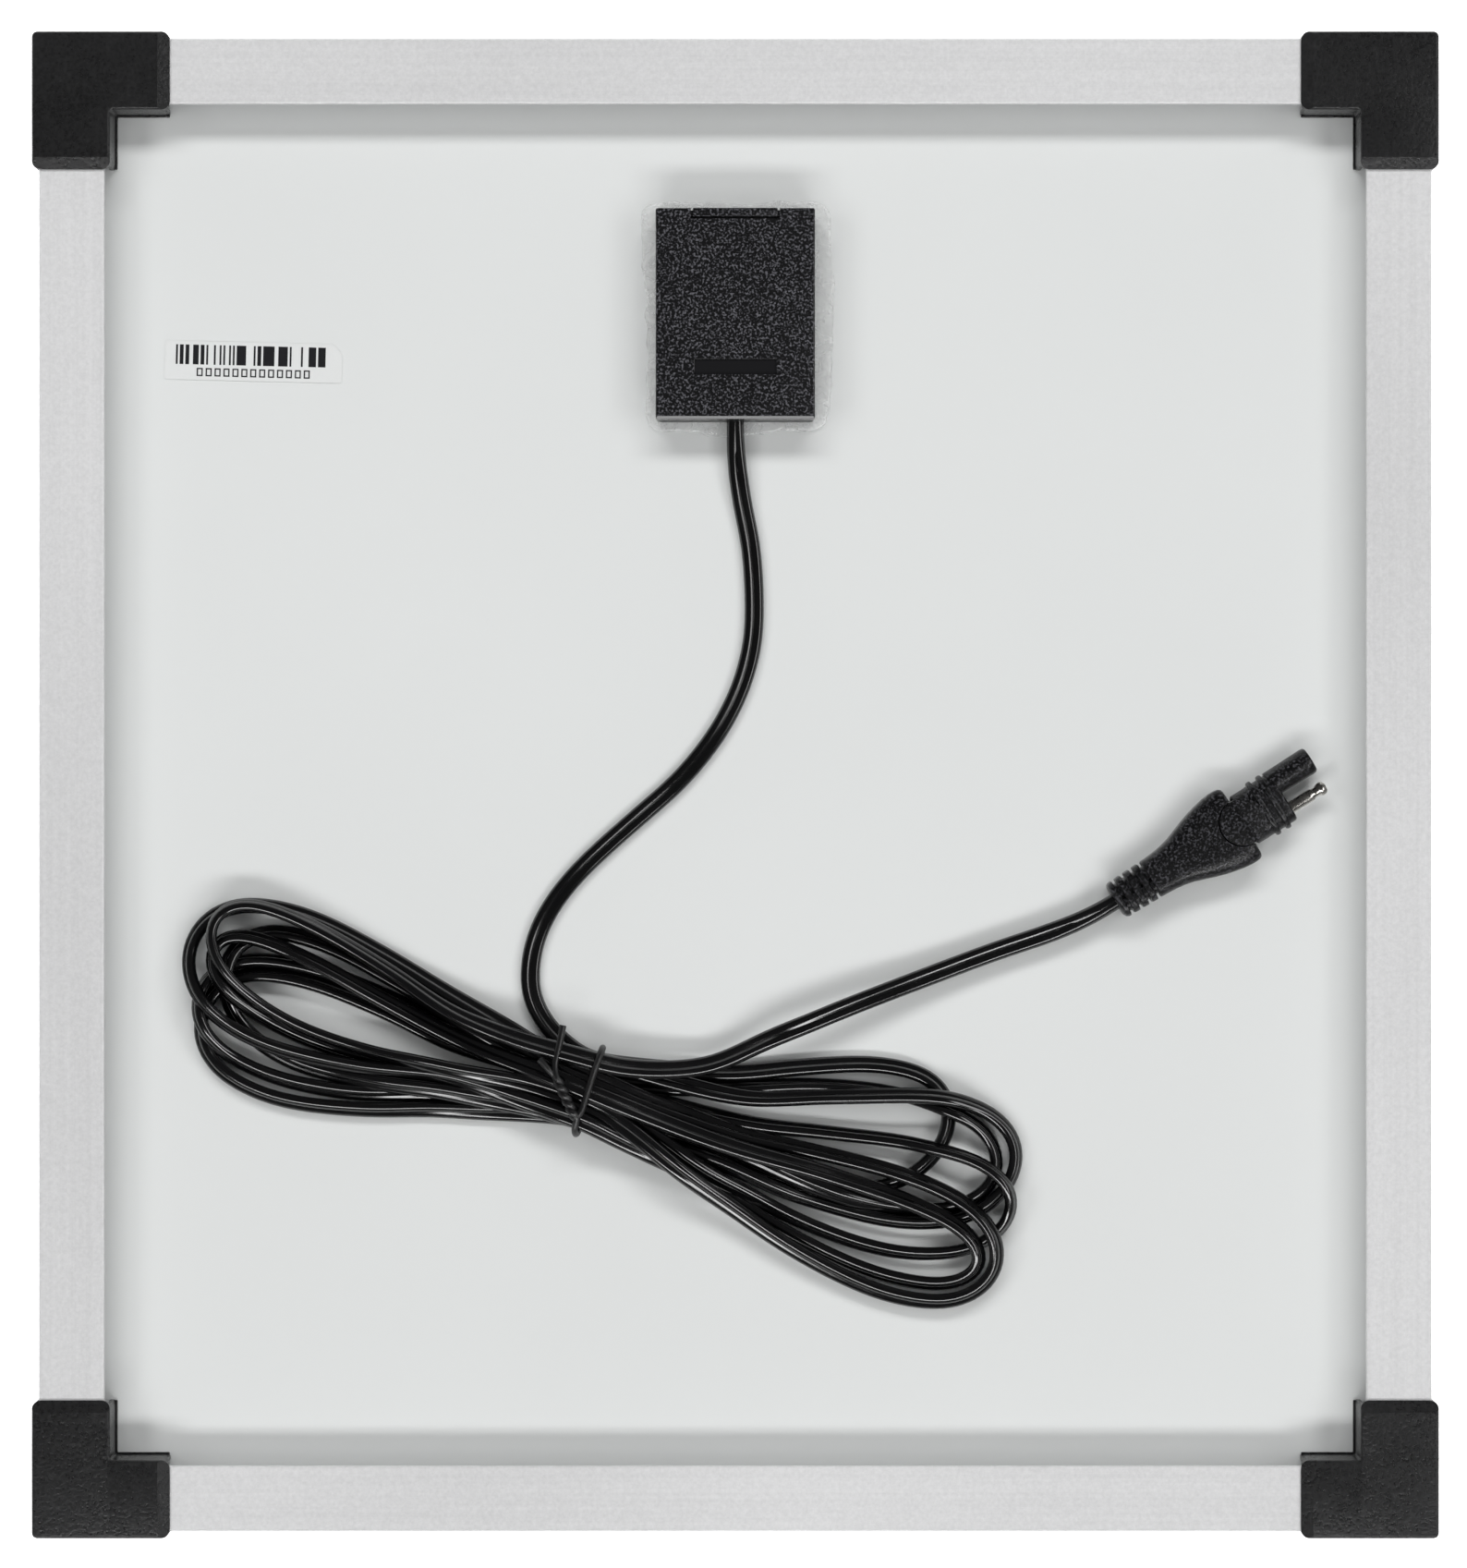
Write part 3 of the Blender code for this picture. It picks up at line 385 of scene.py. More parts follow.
def plated_metal(name, colour, roughness=0.22):
    """Plated or tinned metal with faint tarnish."""
    finish = Finish(name, {"Metallic": 1.0})
    tarnish = finish.noise(420.0, 4.0, 0.6)
    return finish.coat(
        finish.shades(tarnish, colour, 0.8, 1.08),
        finish.spread(tarnish, 0.3, 0.7, roughness - 0.05, roughness + 0.14),
        finish.relief(tarnish, 0.00002, 0.15),
    )


def panel_glass(name, colour):
    finish = Finish(name, {"Transmission Weight": 0.95, "IOR": 1.50, "Alpha": 0.35})
    ripple = finish.noise(60.0)
    return finish.coat(
        finish.shades(ripple, colour, 0.97, 1.0), finish.spread(ripple, 0.3, 0.7, 0.02, 0.06)
    )


def cured_film(name, colour):
    finish = Finish(name, {"Alpha": 0.18, "Specular IOR Level": 0.3})
    cloud = finish.noise(40.0, 3.0)
    return finish.coat(
        finish.shades(cloud, colour, 0.95, 1.0), finish.spread(cloud, 0.3, 0.7, 0.15, 0.3)
    )


def silicon_cells(name, centre_x):
    """Dark blue cells with thin printed fingers across them and two bright ribbons along them."""
    finish = Finish(name, {"Specular IOR Level": 0.6})
    x, y, _ = finish.axes(finish.place())
    across = abs(x - centre_x)
    ribbon = abs(across - 20 * MM) < 0.9 * MM
    finger = (y % (2.1 * MM)) < 0.16 * MM
    edge = across > 38.1 * MM
    crystals = finish.noise(160.0)
    blue = finish.tint(crystals, (0.006, 0.010, 0.034, 1), (0.012, 0.020, 0.062, 1))
    printed = finish.tint(finger * (1 - edge), blue, (0.30, 0.31, 0.33, 1))
    finish.feed({"Metallic": ribbon * 0.9})
    return finish.coat(
        finish.tint(ribbon, printed, (0.66, 0.66, 0.65, 1)),
        finish.spread(crystals, 0.3, 0.7, 0.18, 0.32),
        finish.relief(crystals + ribbon * 0.6, 0.00004, 0.3),
    )


def floor_paint(name, level):
    glow = {"Emission Color": (1, 1, 1, 1), "Emission Strength": 0.95}
    finish = Finish(name, {"Specular IOR Level": 0.1, **glow})
    paper = finish.noise(30.0)
    return finish.coat(finish.shades(paper, (1, 1, 1), level - 0.01, level), 0.85)


def surround(ceiling):
    """White walls all round that fade to a darker ceiling."""
    world = bpy.data.worlds.new("surround")
    world.use_nodes = True
    tree = world.node_tree
    direction = tree.nodes.new("ShaderNodeTexCoord")
    split = tree.nodes.new("ShaderNodeSeparateXYZ")
    fade = tree.nodes.new("ShaderNodeMapRange")
    fade.interpolation_type = "SMOOTHSTEP"
    walls_end, ceiling_starts = 0.10, 0.24
    levels = {"From Min": walls_end, "From Max": ceiling_starts, "To Min": 1.0, "To Max": ceiling}
    for name, value in levels.items():
        fade.inputs[name].default_value = value
    background = tree.nodes["Background"]
    background.inputs["Color"].default_value = (1, 1, 1, 1)
    tree.links.new(direction.outputs["Generated"], split.inputs[0])
    tree.links.new(split.outputs["Z"], fade.inputs["Value"])
    tree.links.new(fade.outputs["Result"], background.inputs["Strength"])
    return world


def dress(piece, material):
    """Gives a piece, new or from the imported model, one material."""
    if not piece.material_slots:
        piece.data.materials.append(material)
    for slot in piece.material_slots:
        slot.material = material


def dress_node(node, material):
    dress(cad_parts[node], material)


def deselect_all():
    if bpy.context.object and bpy.context.object.mode != "OBJECT":
        bpy.ops.object.mode_set(mode="OBJECT")
    bpy.ops.object.select_all(action="DESELECT")


def activate(piece):
    deselect_all()
    piece.select_set(True)
    bpy.context.view_layer.objects.active = piece


class Editing:
    """Edit mode on one piece. Faces and edges are selected by where they are."""

    def __init__(self, piece):
        self.piece = piece

    def __enter__(self):
        activate(self.piece)
        bpy.ops.object.mode_set(mode="EDIT")
        bpy.ops.mesh.select_all(action="DESELECT")
        return self

    def __exit__(self, *problem):
        bpy.ops.object.mode_set(mode="OBJECT")

    def faces(self, test):
        """Selects the faces for which test(centre, normal) is true, and no others."""
        bpy.ops.mesh.select_mode(type="FACE")
        bpy.ops.mesh.select_all(action="DESELECT")
        mesh = bmesh.from_edit_mesh(self.piece.data)
        for face in mesh.faces:
            face.select_set(bool(test(face.calc_center_median(), face.normal)))
        bmesh.update_edit_mesh(self.piece.data)

    def edges(self, test):
        """Selects the edges for which test(one end, other end) is true, and no others."""
        bpy.ops.mesh.select_mode(type="EDGE")
        bpy.ops.mesh.select_all(action="DESELECT")
        mesh = bmesh.from_edit_mesh(self.piece.data)
        for edge in mesh.edges:
            edge.select_set(bool(test(edge.verts[0].co, edge.verts[1].co)))
        bmesh.update_edit_mesh(self.piece.data)

    def all(self):
        bpy.ops.mesh.select_all(action="SELECT")


def keep_place(piece):
    """Moves an object's place, turn and scale into its mesh."""
    activate(piece)
    bpy.ops.object.transform_apply(location=True, rotation=True, scale=True)


def new_piece(name):
    """Names the primitive just added and keeps its place in its mesh."""
    piece = bpy.context.object
    piece.name = name
    keep_place(piece)
    return piece


def in_mm(rows):
    """Rows of millimetres as rows of metres."""
    return [tuple(value * MM for value in row) for row in rows]


def middle_of(low, high):
    return [(a + b) / 2 for a, b in zip(low, high)]


def add_block(name, low, high):
    deselect_all()
    bpy.ops.mesh.primitive_cube_add(size=1, location=middle_of(low, high))
    bpy.context.object.scale = [b - a for a, b in zip(low, high)]
    return new_piece(name)


def add_rod(name, radius, start, end, vertices):
    """A straight round rod along X, from start to end."""
    deselect_all()
    bpy.ops.mesh.primitive_cylinder_add(
        vertices=vertices,
        radius=radius,
        depth=end[0] - start[0],
        location=middle_of(start, end),
        rotation=(0, math.pi / 2, 0),
    )
    return new_piece(name)


def apply_modifier(piece, modifier):
    activate(piece)
    bpy.ops.object.modifier_apply(modifier=modifier.name)


def combine(piece, other, operation):
    modifier = piece.modifiers.new("combine", "BOOLEAN")
    modifier.operation = operation
    modifier.solver = "EXACT"
    modifier.object = other
    apply_modifier(piece, modifier)
    bpy.data.objects.remove(other)


def cut_out(piece, *cutters):
    for cutter in cutters:
        combine(piece, cutter, "DIFFERENCE")


def soften(piece, width, segments=3, degrees=40, by_weight=False):
    """Rounds the piece's edges."""
    modifier = piece.modifiers.new("soft_edges", "BEVEL")
    modifier.width = width
    modifier.segments = segments
    modifier.limit_method = "WEIGHT" if by_weight else "ANGLE"
    modifier.angle_limit = math.radians(degrees)
    modifier.harden_normals = False
    apply_modifier(piece, modifier)


def slice_off(piece, spot, outwards):
    """Cuts the piece with a plane, takes away what lies outwards of it and fills the cut."""
    with Editing(piece) as edit:
        edit.all()
        bpy.ops.mesh.bisect(
            plane_co=spot, plane_no=outwards, use_fill=True, clear_outer=True, threshold=1e-6
        )


def smooth(piece, degrees=35):
    activate(piece)
    bpy.ops.object.shade_smooth_by_angle(angle=math.radians(degrees))


def settle_in(piece, spot=(0, 0, 0), turn=0.0, scale=(1, 1, 1)):
    """Puts a piece in its place and keeps the place in its mesh, with its faces outwards."""
    piece.location = spot
    piece.rotation_euler = (0, 0, turn)
    piece.scale = scale
    keep_place(piece)
    with Editing(piece) as edit:
        edit.all()
        bpy.ops.mesh.remove_doubles(threshold=1e-6)
        bpy.ops.mesh.normals_make_consistent(inside=False)


def finish_piece(piece, material, body, nodes):
    dress(piece, material)
    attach(piece, body)
    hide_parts(*nodes)


def copy_of_node(node, name):
    """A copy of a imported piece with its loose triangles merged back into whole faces."""
    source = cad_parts[node]
    piece = bpy.data.objects.new(name, source.data.copy())
    bpy.context.scene.collection.objects.link(piece)
    piece.matrix_world = source.matrix_world
    with Editing(piece) as edit:
        edit.all()
        bpy.ops.mesh.remove_doubles(threshold=2e-6)
        bpy.ops.mesh.dissolve_limited(angle_limit=math.radians(1))
        bpy.ops.mesh.normals_make_consistent(inside=False)
    return piece


def corner_block(name, near, far, arm, low, high):
    """An L of two arms, drawn out of a square block at the corner."""
    block = add_block(name, (near, near, low), (far, far, high))
    with Editing(block) as edit:
        for axis in (0, 1):
            other = 1 - axis
            edit.faces(lambda c, n: n[axis] > 0.9 and c[axis] > far - 1e-6 and c[other] < far)
            move = [0.0, 0.0, 0.0]
            move[axis] = arm - far
            bpy.ops.mesh.extrude_region_move(TRANSFORM_OT_translate={"value": move})
    return block


def make_cap(name):
    """One corner cap, about its outer corner, with sloped shoulders where its arms end."""
    width = 19.7 * MM
    arm = 34.6 * MM
    wall = 1.3 * MM
    past = 60 * MM
    cap = corner_block(name, 0.0, width, arm, 0.0, CAP_TOP)

    def upright(a, b):
        return abs(a.z - b.z) > 10 * MM

    def at_end(a, b):
        return min(a.x, b.x) > arm - 1e-6 or min(a.y, b.y) > arm - 1e-6

    with Editing(cap) as edit:
        edit.all()
        bpy.ops.transform.edge_bevelweight(value=0.35)
        edit.edges(lambda a, b: max(a.x, b.x, a.y, b.y) < 1e-6 and upright(a, b))
        bpy.ops.transform.edge_bevelweight(value=0.3)
        edit.edges(lambda a, b: at_end(a, b) and upright(a, b))
        bpy.ops.transform.edge_bevelweight(value=0.65)
    soften(cap, 2.2 * MM, 6, by_weight=True)
    slope = math.radians(18)
    shoulder = arm - 3.0 * MM
    for x, y in ((1, 0), (0, 1)):
        outwards = (x * math.sin(slope), y * math.sin(slope), math.cos(slope))
        slice_off(cap, (x * shoulder, y * shoulder, CAP_TOP), outwards)
    channel = corner_block("cap_channel", wall, 18.4 * MM, past, wall, 19.9 * MM)
    opening = add_block(
        "cap_opening", (9.6 * MM, 9.6 * MM, -5 * MM), (past, past, BACK_Z + 0.3 * MM)
    )
    lip = corner_block(
        "cap_lip", 18.9 * MM, 20.2 * MM, 33.4 * MM, BACK_Z + 0.35 * MM, BACK_Z + 1.1 * MM
    )
    soften(lip, 0.25 * MM, 2)
    cut_out(cap, channel, opening)
    for low, high in (((33.5, 18, 5), (36, 21, 18.4)), ((18, 33.5, 5), (21, 36, 18.4))):
        cut_out(cap, add_block("cap_relief", *in_mm((low, high))))
    combine(cap, lip, "UNION")
    smooth(cap, 17)
    return cap


def make_caps(material):
    for row, sy in (("top", 1), ("bottom", -1)):
        for end, sx in (("left", -1), ("right", 1)):
            cap = make_cap(f"cap_{row}_{end}")
            node = f"corner_cap_{row}_{end}"
            low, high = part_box(node)
            x = high[0] if sx > 0 else low[0]
            y = high[1] if sy > 0 else low[1]
            settle_in(cap, (x, y, 0), 0.0, (-sx, -sy, 1))
            finish_piece(cap, material, "panel", [node])


def make_lid(material):
    """The box's lid: grip steps, a recessed plate and a notch for the base's tab."""
    (left, near, foot), (right, far, top) = LID_LOW, LID_HIGH
    lid = add_block("box_lid", LID_LOW, LID_HIGH)
    soften(lid, 0.55 * MM, 5)
    slope = math.radians(22)
    slice_off(lid, (0, near + 0.75 * MM, top), (0, -math.sin(slope), math.cos(slope)))
    wall = 1.5 * MM
    inner = (right - left) / 2 - wall
    rail_in = inner - 0.8 * MM
    under = top - 1.4 * MM
    start, end, below = near + wall, far + MM, foot - MM
    cut_out(
        lid,
        add_block("lid_space", (-rail_in, start, below), (rail_in, end, under)),
        add_block("lid_gap_low", (-inner, start, below), (inner, end, foot + 0.7 * MM)),
        add_block("lid_gap_high", (-inner, start, foot + 1.5 * MM), (inner, end, under + 1e-6)),
        add_block("lid_notch", (-11.2 * MM, far - 2.7 * MM, below), (11.2 * MM, end, top + MM)),
    )
    plate = add_block(
        "lid_plate",
        (-10.4 * MM, BOX_Y - 15.3 * MM, top - 0.7 * MM),
        (10.4 * MM, BOX_Y - 11.3 * MM, top + MM),
    )
    soften(plate, 0.15 * MM, 2)
    cut_out(lid, plate)
    for step in range(6):
        y = BOX_Y + (10.8 + 2.1 * step) * MM
        half = (6.2 - 0.25 * step) * MM
        groove = add_block("lid_grip", (-half, y, top - 0.2 * MM), (half, y + 0.6 * MM, top + MM))
        cut_out(lid, groove)
    smooth(lid, 20)
    settle_in(lid)
    finish_piece(lid, material, "lid", ["junction_box_lid"])


def make_base(material):
    base = copy_of_node("junction_box_base", "box_base")
    soften(base, 0.25 * MM, 2, 50)
    smooth(base)
    settle_in(base)
    finish_piece(base, material, "panel", ["junction_box_base"])


def make_bead(material):
    """Sealant round the box's foot, with a wavy hand-smeared edge."""
    bead = copy_of_node("silicone_bead", "sealant")
    rounding = bead.modifiers.new("rounding", "SUBSURF")
    rounding.levels = 3
    rounding.render_levels = 3
    apply_modifier(bead, rounding)
    waves = bpy.data.textures.new("smear_waves", "CLOUDS")
    waves.noise_scale = 0.0075
    waves.noise_depth = 2
    smear = bead.modifiers.new("smear", "DISPLACE")
    smear.texture = waves
    smear.texture_coords = "LOCAL"
    smear.strength = 2.4 * MM
    smear.mid_level = 0.45
    apply_modifier(bead, smear)
    for vertex in bead.data.vertices:
        out = min(max((abs(vertex.co.x) - 20.6 * MM) / (2 * MM), 0), 1)
        wider = (1.2 if vertex.co.x > 0 else 0.8) * MM
        vertex.co.x += math.copysign(out * wider, vertex.co.x)
        vertex.co.z = max(vertex.co.z, BACK_Z + 0.05 * MM)
    smooth(bead, 80)
    settle_in(bead)
    finish_piece(bead, material, "panel", ["silicone_bead"])


def label_box():
    """The sticker's own box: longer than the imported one, and a little up and to the left."""
    low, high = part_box("serial_label")
    return (
        (low[0] - 1.65 * MM, low[1] + 0.75 * MM, low[2]),
        (high[0] - 0.75 * MM, high[1] + 0.75 * MM, high[2]),
    )


def make_label(material, turn):
    """A thin sticker, a little crooked, with one corner clipped."""
    low, high = label_box()
    middle = middle_of(low, high)
    half_w = (high[0] - low[0]) / 2
    half_l = (high[1] - low[1]) / 2
    label = add_block("sticker", (-half_w, -half_l, low[2]), (half_w, half_l, low[2] + 0.12 * MM))
    slice_off(label, (half_w - 2.2 * MM, half_l, 0), (0.75, 0.66, 0))
    with Editing(label) as edit:
        edit.edges(lambda a, b: abs(a.z - b.z) > 0.05 * MM)
        bpy.ops.mesh.bevel(offset=0.8 * MM, segments=4, affect="EDGES")
    smooth(label)
    settle_in(label, (middle[0], middle[1], 0), turn)
    finish_piece(label, material, "panel", ["serial_label"])


def drawn_out(name, half_w, half_t, corner, stations, rounding):
    """A body drawn along X from a rounded face: stations are place, half width and half height."""
    deselect_all()
    bpy.ops.mesh.primitive_plane_add(size=2, rotation=(0, math.pi / 2, 0))
    body = new_piece(name)
    x, w, t = stations[0]
    with Editing(body) as edit:
        edit.all()
        bpy.ops.transform.resize(value=(1, half_w, half_t))
        bpy.ops.mesh.bevel(offset=corner, segments=rounding, affect="VERTICES")
        bpy.ops.transform.resize(value=(1, w / half_w, t / half_t), center_override=(0, 0, 0))
    draw_along(body, stations)
    return body


def turned_rod(name, stations, vertices=32):
    """A turned piece along X: stations are (place, radius)."""
    deselect_all()
    bpy.ops.mesh.primitive_circle_add(
        vertices=vertices, radius=stations[0][1], fill_type="NGON", rotation=(0, math.pi / 2, 0)
    )
    rod = new_piece(name)
    draw_along(rod, [(x, radius, radius) for x, radius in stations])
    return rod


def draw_along(piece, stations):
    """Moves a flat face to the first station and extrudes it through the others."""
    x, w, t = stations[0]
    with Editing(piece) as edit:
        edit.all()
        bpy.ops.transform.translate(value=(x, 0, 0))
        for next_x, next_w, next_t in stations[1:]:
            bpy.ops.mesh.extrude_region_move(TRANSFORM_OT_translate={"value": (next_x - x, 0, 0)})
            stretch = (1, next_w / w, next_t / t)
            bpy.ops.transform.resize(value=stretch, center_override=(next_x, 0, 0))
            x, w, t = next_x, next_w, next_t
        edit.all()
        bpy.ops.mesh.normals_make_consistent(inside=False)


def make_grip(material):
    """The moulded grip, from its ribbed strain relief to its two shoulders."""
    ribs, pitch = 4, 2.6
    stations = [(0.0, 3.9, 3.9), (0.35, 4.6, 4.5), (0.9, 4.9, 4.8)]
    for rib in range(ribs):
        x = 1.55 + pitch * rib
        w = 4.95 + 0.06 * rib
        stations += [(x, w, 4.8), (x + 0.15, w - 0.15, 4.6), (x + 0.2, 3.9, 3.8)]
        stations += [(x + 1.05, 3.9, 3.8), (x + 1.1, w - 0.1, 4.6), (x + 1.3, w, 4.8)]
    flare = ((12.0, 5.15), (14.5, 5.35), (17.0, 5.7), (19.5, 6.3), (22.0, 7.2))
    flare += ((24.5, 8.1), (27.0, 8.9), (29.5, 9.55), (32.0, 10.05), (34.0, 10.3))
    stations += [(x, w, 4.8) for x, w in flare]
    stations += [(35.6, 10.35, 4.75), (36.6, 10.2, 4.6), (37.2, 9.85, 4.3), (37.45, 9.3, 3.9)]
    grip = drawn_out("plug_grip", 4.9 * MM, 4.8 * MM, 2.6 * MM, in_mm(stations), 6)
    cut_out(grip, turned_tongue("grip_pocket", 6.25 * MM, 8 * MM, 50 * MM))
    for rib in range(ribs):
        x = 2.2 + pitch * rib
        corners = in_mm(((x - 0.35, -0.5, -8), (x + 0.35, 0.5, 8)))
        cut_out(grip, add_block("grip_window", *corners))
    smooth(grip, 40)
    settle_in(grip, PLUG_SPOT, PLUG_TURN)
    finish_piece(grip, material, "panel", ["connector_overmould"])
    return grip


def turned_tongue(name, radius, half_t, end):
    """A flat tongue with a round end, from its round end to a square one."""
    centre = 37.6 * MM
    deselect_all()
    bpy.ops.mesh.primitive_cylinder_add(
        vertices=64, radius=radius, depth=2 * half_t, location=(centre, 0, 0)
    )
    tongue = new_piece(name)
    straight = add_block("tongue_end", (centre, -radius, -half_t), (end, radius, half_t))
    combine(tongue, straight, "UNION")
    return tongue


def make_nose(material):
    """The nose: its tongue, two ring ribs, and the barrel round the socket."""
    stations = [(37.9, 5.7, 3.6), (38.2, 6.6, 3.7), (38.6, 6.95, 3.75), (43.4, 6.95, 3.75)]
    for x in (43.5, 46.5):
        stations += [(x, 7.6, 4.3), (x + 0.3, 7.75, 4.45), (x + 0.9, 7.75, 4.45)]
        stations += [(x + 1.2, 7.6, 4.3), (x + 1.3, 6.95, 3.75), (x + 2.8, 6.95, 3.75)]
    stations += [(49.6, 6.9, 3.7), (49.9, 6.6, 3.4)]
    nose = drawn_out("plug_nose", 6.95 * MM, 3.75 * MM, 3.6 * MM, in_mm(stations), 7)
    tongue = turned_tongue("nose_tongue", 5.9 * MM, 4.55 * MM, 38.6 * MM)
    soften(tongue, 0.35 * MM)
    combine(nose, tongue, "UNION")
    outline = in_mm(((48.5, 3.4), (59.4, 3.55), (60.3, 3.45), (60.7, 3.1)))
    barrel = turned_rod("nose_barrel", outline, 48)
    barrel.location.y = SOCKET_Y
    keep_place(barrel)
    combine(nose, barrel, "UNION")
    end = 70 * MM
    cut_out(
        nose,
        add_rod("socket_bore", 2.5 * MM, (46.2 * MM, SOCKET_Y, 0), (end, SOCKET_Y, 0), 48),
        add_rod("pin_bore", 2.0 * MM, (44.0 * MM, PIN_Y, 0), (end, PIN_Y, 0), 48),
    )
    smooth(nose, 40)
    settle_in(nose, PLUG_SPOT, PLUG_TURN)
    finish_piece(nose, material, "panel", ["connector_housing"])
    return nose


def make_contacts(material):
    """The bare pin, with the ring near its tip, and the hollow socket inside the barrel."""
    pin = [(44.3, 1.6), (55.4, 1.6), (56.2, 1.55), (56.8, 1.25), (57.6, 1.2)]
    pin += [(58.3, 1.55), (58.9, 1.8), (59.5, 1.75), (60.1, 1.45), (60.4, 0.9)]
    socket = [(46.5, 2.2), (58.7, 2.2), (59.0, 2.05), (58.9, 1.6), (48.0, 1.6), (47.9, 0.4)]
    pieces = []
    for name, stations, y in (("pin", pin, PIN_Y), ("socket", socket, SOCKET_Y)):
        piece = turned_rod("plug_" + name, in_mm(stations))
        piece.location.y = y
        keep_place(piece)
        smooth(piece, 50)
        settle_in(piece, PLUG_SPOT, PLUG_TURN)
        finish_piece(piece, material, "panel", ["connector_" + name])
        pieces.append(piece)
    return pieces


def from_hank(points):
    """Points given in millimetres along, across and above, in the panel's own frame."""
    points = np.asarray(points, float) * MM
    cos, sin = math.cos(HANK_TURN), math.sin(HANK_TURN)
    x = HANK_CENTRE[0] + points[:, 0] * cos - points[:, 1] * sin
    y = HANK_CENTRE[1] + points[:, 0] * sin + points[:, 1] * cos
    return np.stack([x, y, points[:, 2]], axis=1)


def to_hank(points):
    """The other way: along, across and above in millimetres."""
    points = np.asarray(points, float)
    cos, sin = math.cos(HANK_TURN), math.sin(HANK_TURN)
    x = points[:, 0] - HANK_CENTRE[0]
    y = points[:, 1] - HANK_CENTRE[1]
    return np.stack([x * cos + y * sin, y * cos - x * sin, points[:, 2]], axis=1) / MM


def smooth_line(route, step):
    """Points step apart on a smooth curve through the route's points."""
    knots = np.asarray(route, float)
    knots = np.vstack([2 * knots[0] - knots[1], knots, 2 * knots[-1] - knots[-2]])
    fine = []
    t = np.linspace(0, 1, 24, endpoint=False)[:, None]
    for p0, p1, p2, p3 in zip(knots, knots[1:], knots[2:], knots[3:]):
        span = np.linalg.norm(p2 - p1)
        into = (p2 - p0) * span / (span + np.linalg.norm(p1 - p0))
        out = (p3 - p1) * span / (span + np.linalg.norm(p3 - p2))
        fine.append(
            (2 * t**3 - 3 * t**2 + 1) * p1
            + (t**3 - 2 * t**2 + t) * into
            + (3 * t**2 - 2 * t**3) * p2
            + (t**3 - t**2) * out
        )
    return respaced(np.vstack([*fine, knots[-2]]), step)


def lengths_along(line):
    return np.concatenate([[0], np.cumsum(np.linalg.norm(np.diff(line, axis=0), axis=1))])


def respaced(line, step):
    along = lengths_along(line)
    places = np.linspace(0, along[-1], max(3, round(along[-1] / step) + 1))
    return np.stack([np.interp(places, along, line[:, k]) for k in range(3)], axis=1)


def hank_turn(shape, side, level):
    """One turn: a teardrop that leaves the tie and comes back to it. Side is 1 right, -1 left."""
    reach, end, bow, half = shape
    points = []
    for share in (0.34, 0.55, 0.75, 0.9, 0.975, 1.0, -0.975, -0.9, -0.75, -0.55, -0.34):
        s = abs(share)
        spread = 1.61 * half * s * math.sqrt(1 - s**4)
        across = end * s + 4 * bow * s * (1 - s) + side * math.copysign(spread, share)
        points.append((side * reach * s, across, level - 1.2 * s))
    return points


def lead_route():
    """The whole lead's route before it settles: to the bundle, its turns, and to the connector."""
    route = [tuple(point) for point in to_hank(LEAD_IN_ROUTE)]
    route.append((-12.0, 11.0, 11.0))
    for index, (right, left) in enumerate(zip(RIGHT_TURNS, LEFT_TURNS)):
        level = 11.6 + 1.5 * index
        route.append((0.0, *RIGHT_PASSES[index]))
        route += hank_turn(right, 1, level)
        route.append((0.0, *LEFT_PASSES[index]))
        route += hank_turn(left, -1, level + 0.7)
    route.append((0.0, *RIGHT_PASSES[-1]))
    route += [(15.0, 9.6, 19.6), (28.0, 14.6, 18.6)]
    route += [tuple(point) for point in to_hank(LEAD_OUT_ROUTE)[1:]]
    return np.array(route)


def near_pairs(points, reach):
    """Pairs of points that lie near each other on different stretches of the lead."""
    first, second = [], []
    for index in range(len(points) - 6):
        rest = points[index + 6 :]
        near = np.flatnonzero(np.abs(rest[:, :2] - points[index, :2]).max(axis=1) < reach)
        first.append(np.full(len(near), index))
        second.append(near + index + 6)
    return np.concatenate(first), np.concatenate(second)


def settle_lead(points, free, half_w, half_h, rounds):
    """Lets the loose turns sink on to the sheet and rest on each other without passing through.

    All in millimetres. Each stretch keeps half_w of room sideways and half_h above and below.
    """
    floor = BACK_Z / MM + 0.1
    drawn = points.copy()
    for index in range(rounds):
        if index % 12 == 0:
            pairs = near_pairs(points, 9.0)
        i, j = pairs
        gap = points[i] - points[j]
        width = half_w[i] + half_w[j]
        height = (half_h[i] + half_h[j]) * 0.97
        scaled = np.stack([gap[:, 0] / width, gap[:, 1] / width, gap[:, 2] / height], axis=1)
        measure = np.linalg.norm(scaled, axis=1)
        tight = (measure < 1.0) & (measure > 1e-4)
        i, j, scaled, measure = i[tight], j[tight], scaled[tight], measure[tight]
        room = np.stack([width[tight], width[tight], height[tight]], axis=1)
        slope = scaled / measure[:, None] / room
        push = slope * ((1.0 - measure) / (slope**2).sum(axis=1))[:, None] * 0.5
        push[:, :2] *= 0.45
        total = np.zeros_like(points)
        count = np.ones(len(points))
        np.add.at(total, i, push)
        np.add.at(total, j, -push)
        np.add.at(count, i, 0.5)
        np.add.at(count, j, 0.5)
        points = points + total / count[:, None] * free[:, None] * 1.2
        shift = points - drawn
        shift[:, :2] = 0.985 * even(shift[:, :2])
        shift[:, 2] -= 0.02 * free
        points = drawn + shift
        points[:, 2] += 0.35 * free * (even(points[:, 2:3])[:, 0] - points[:, 2])
        points[:, 2] = np.maximum(points[:, 2], floor + half_h)
        points = hold_waist(points, half_w, half_h)
        points = np.where(free[:, None] > 0.5, points, drawn)
    return points


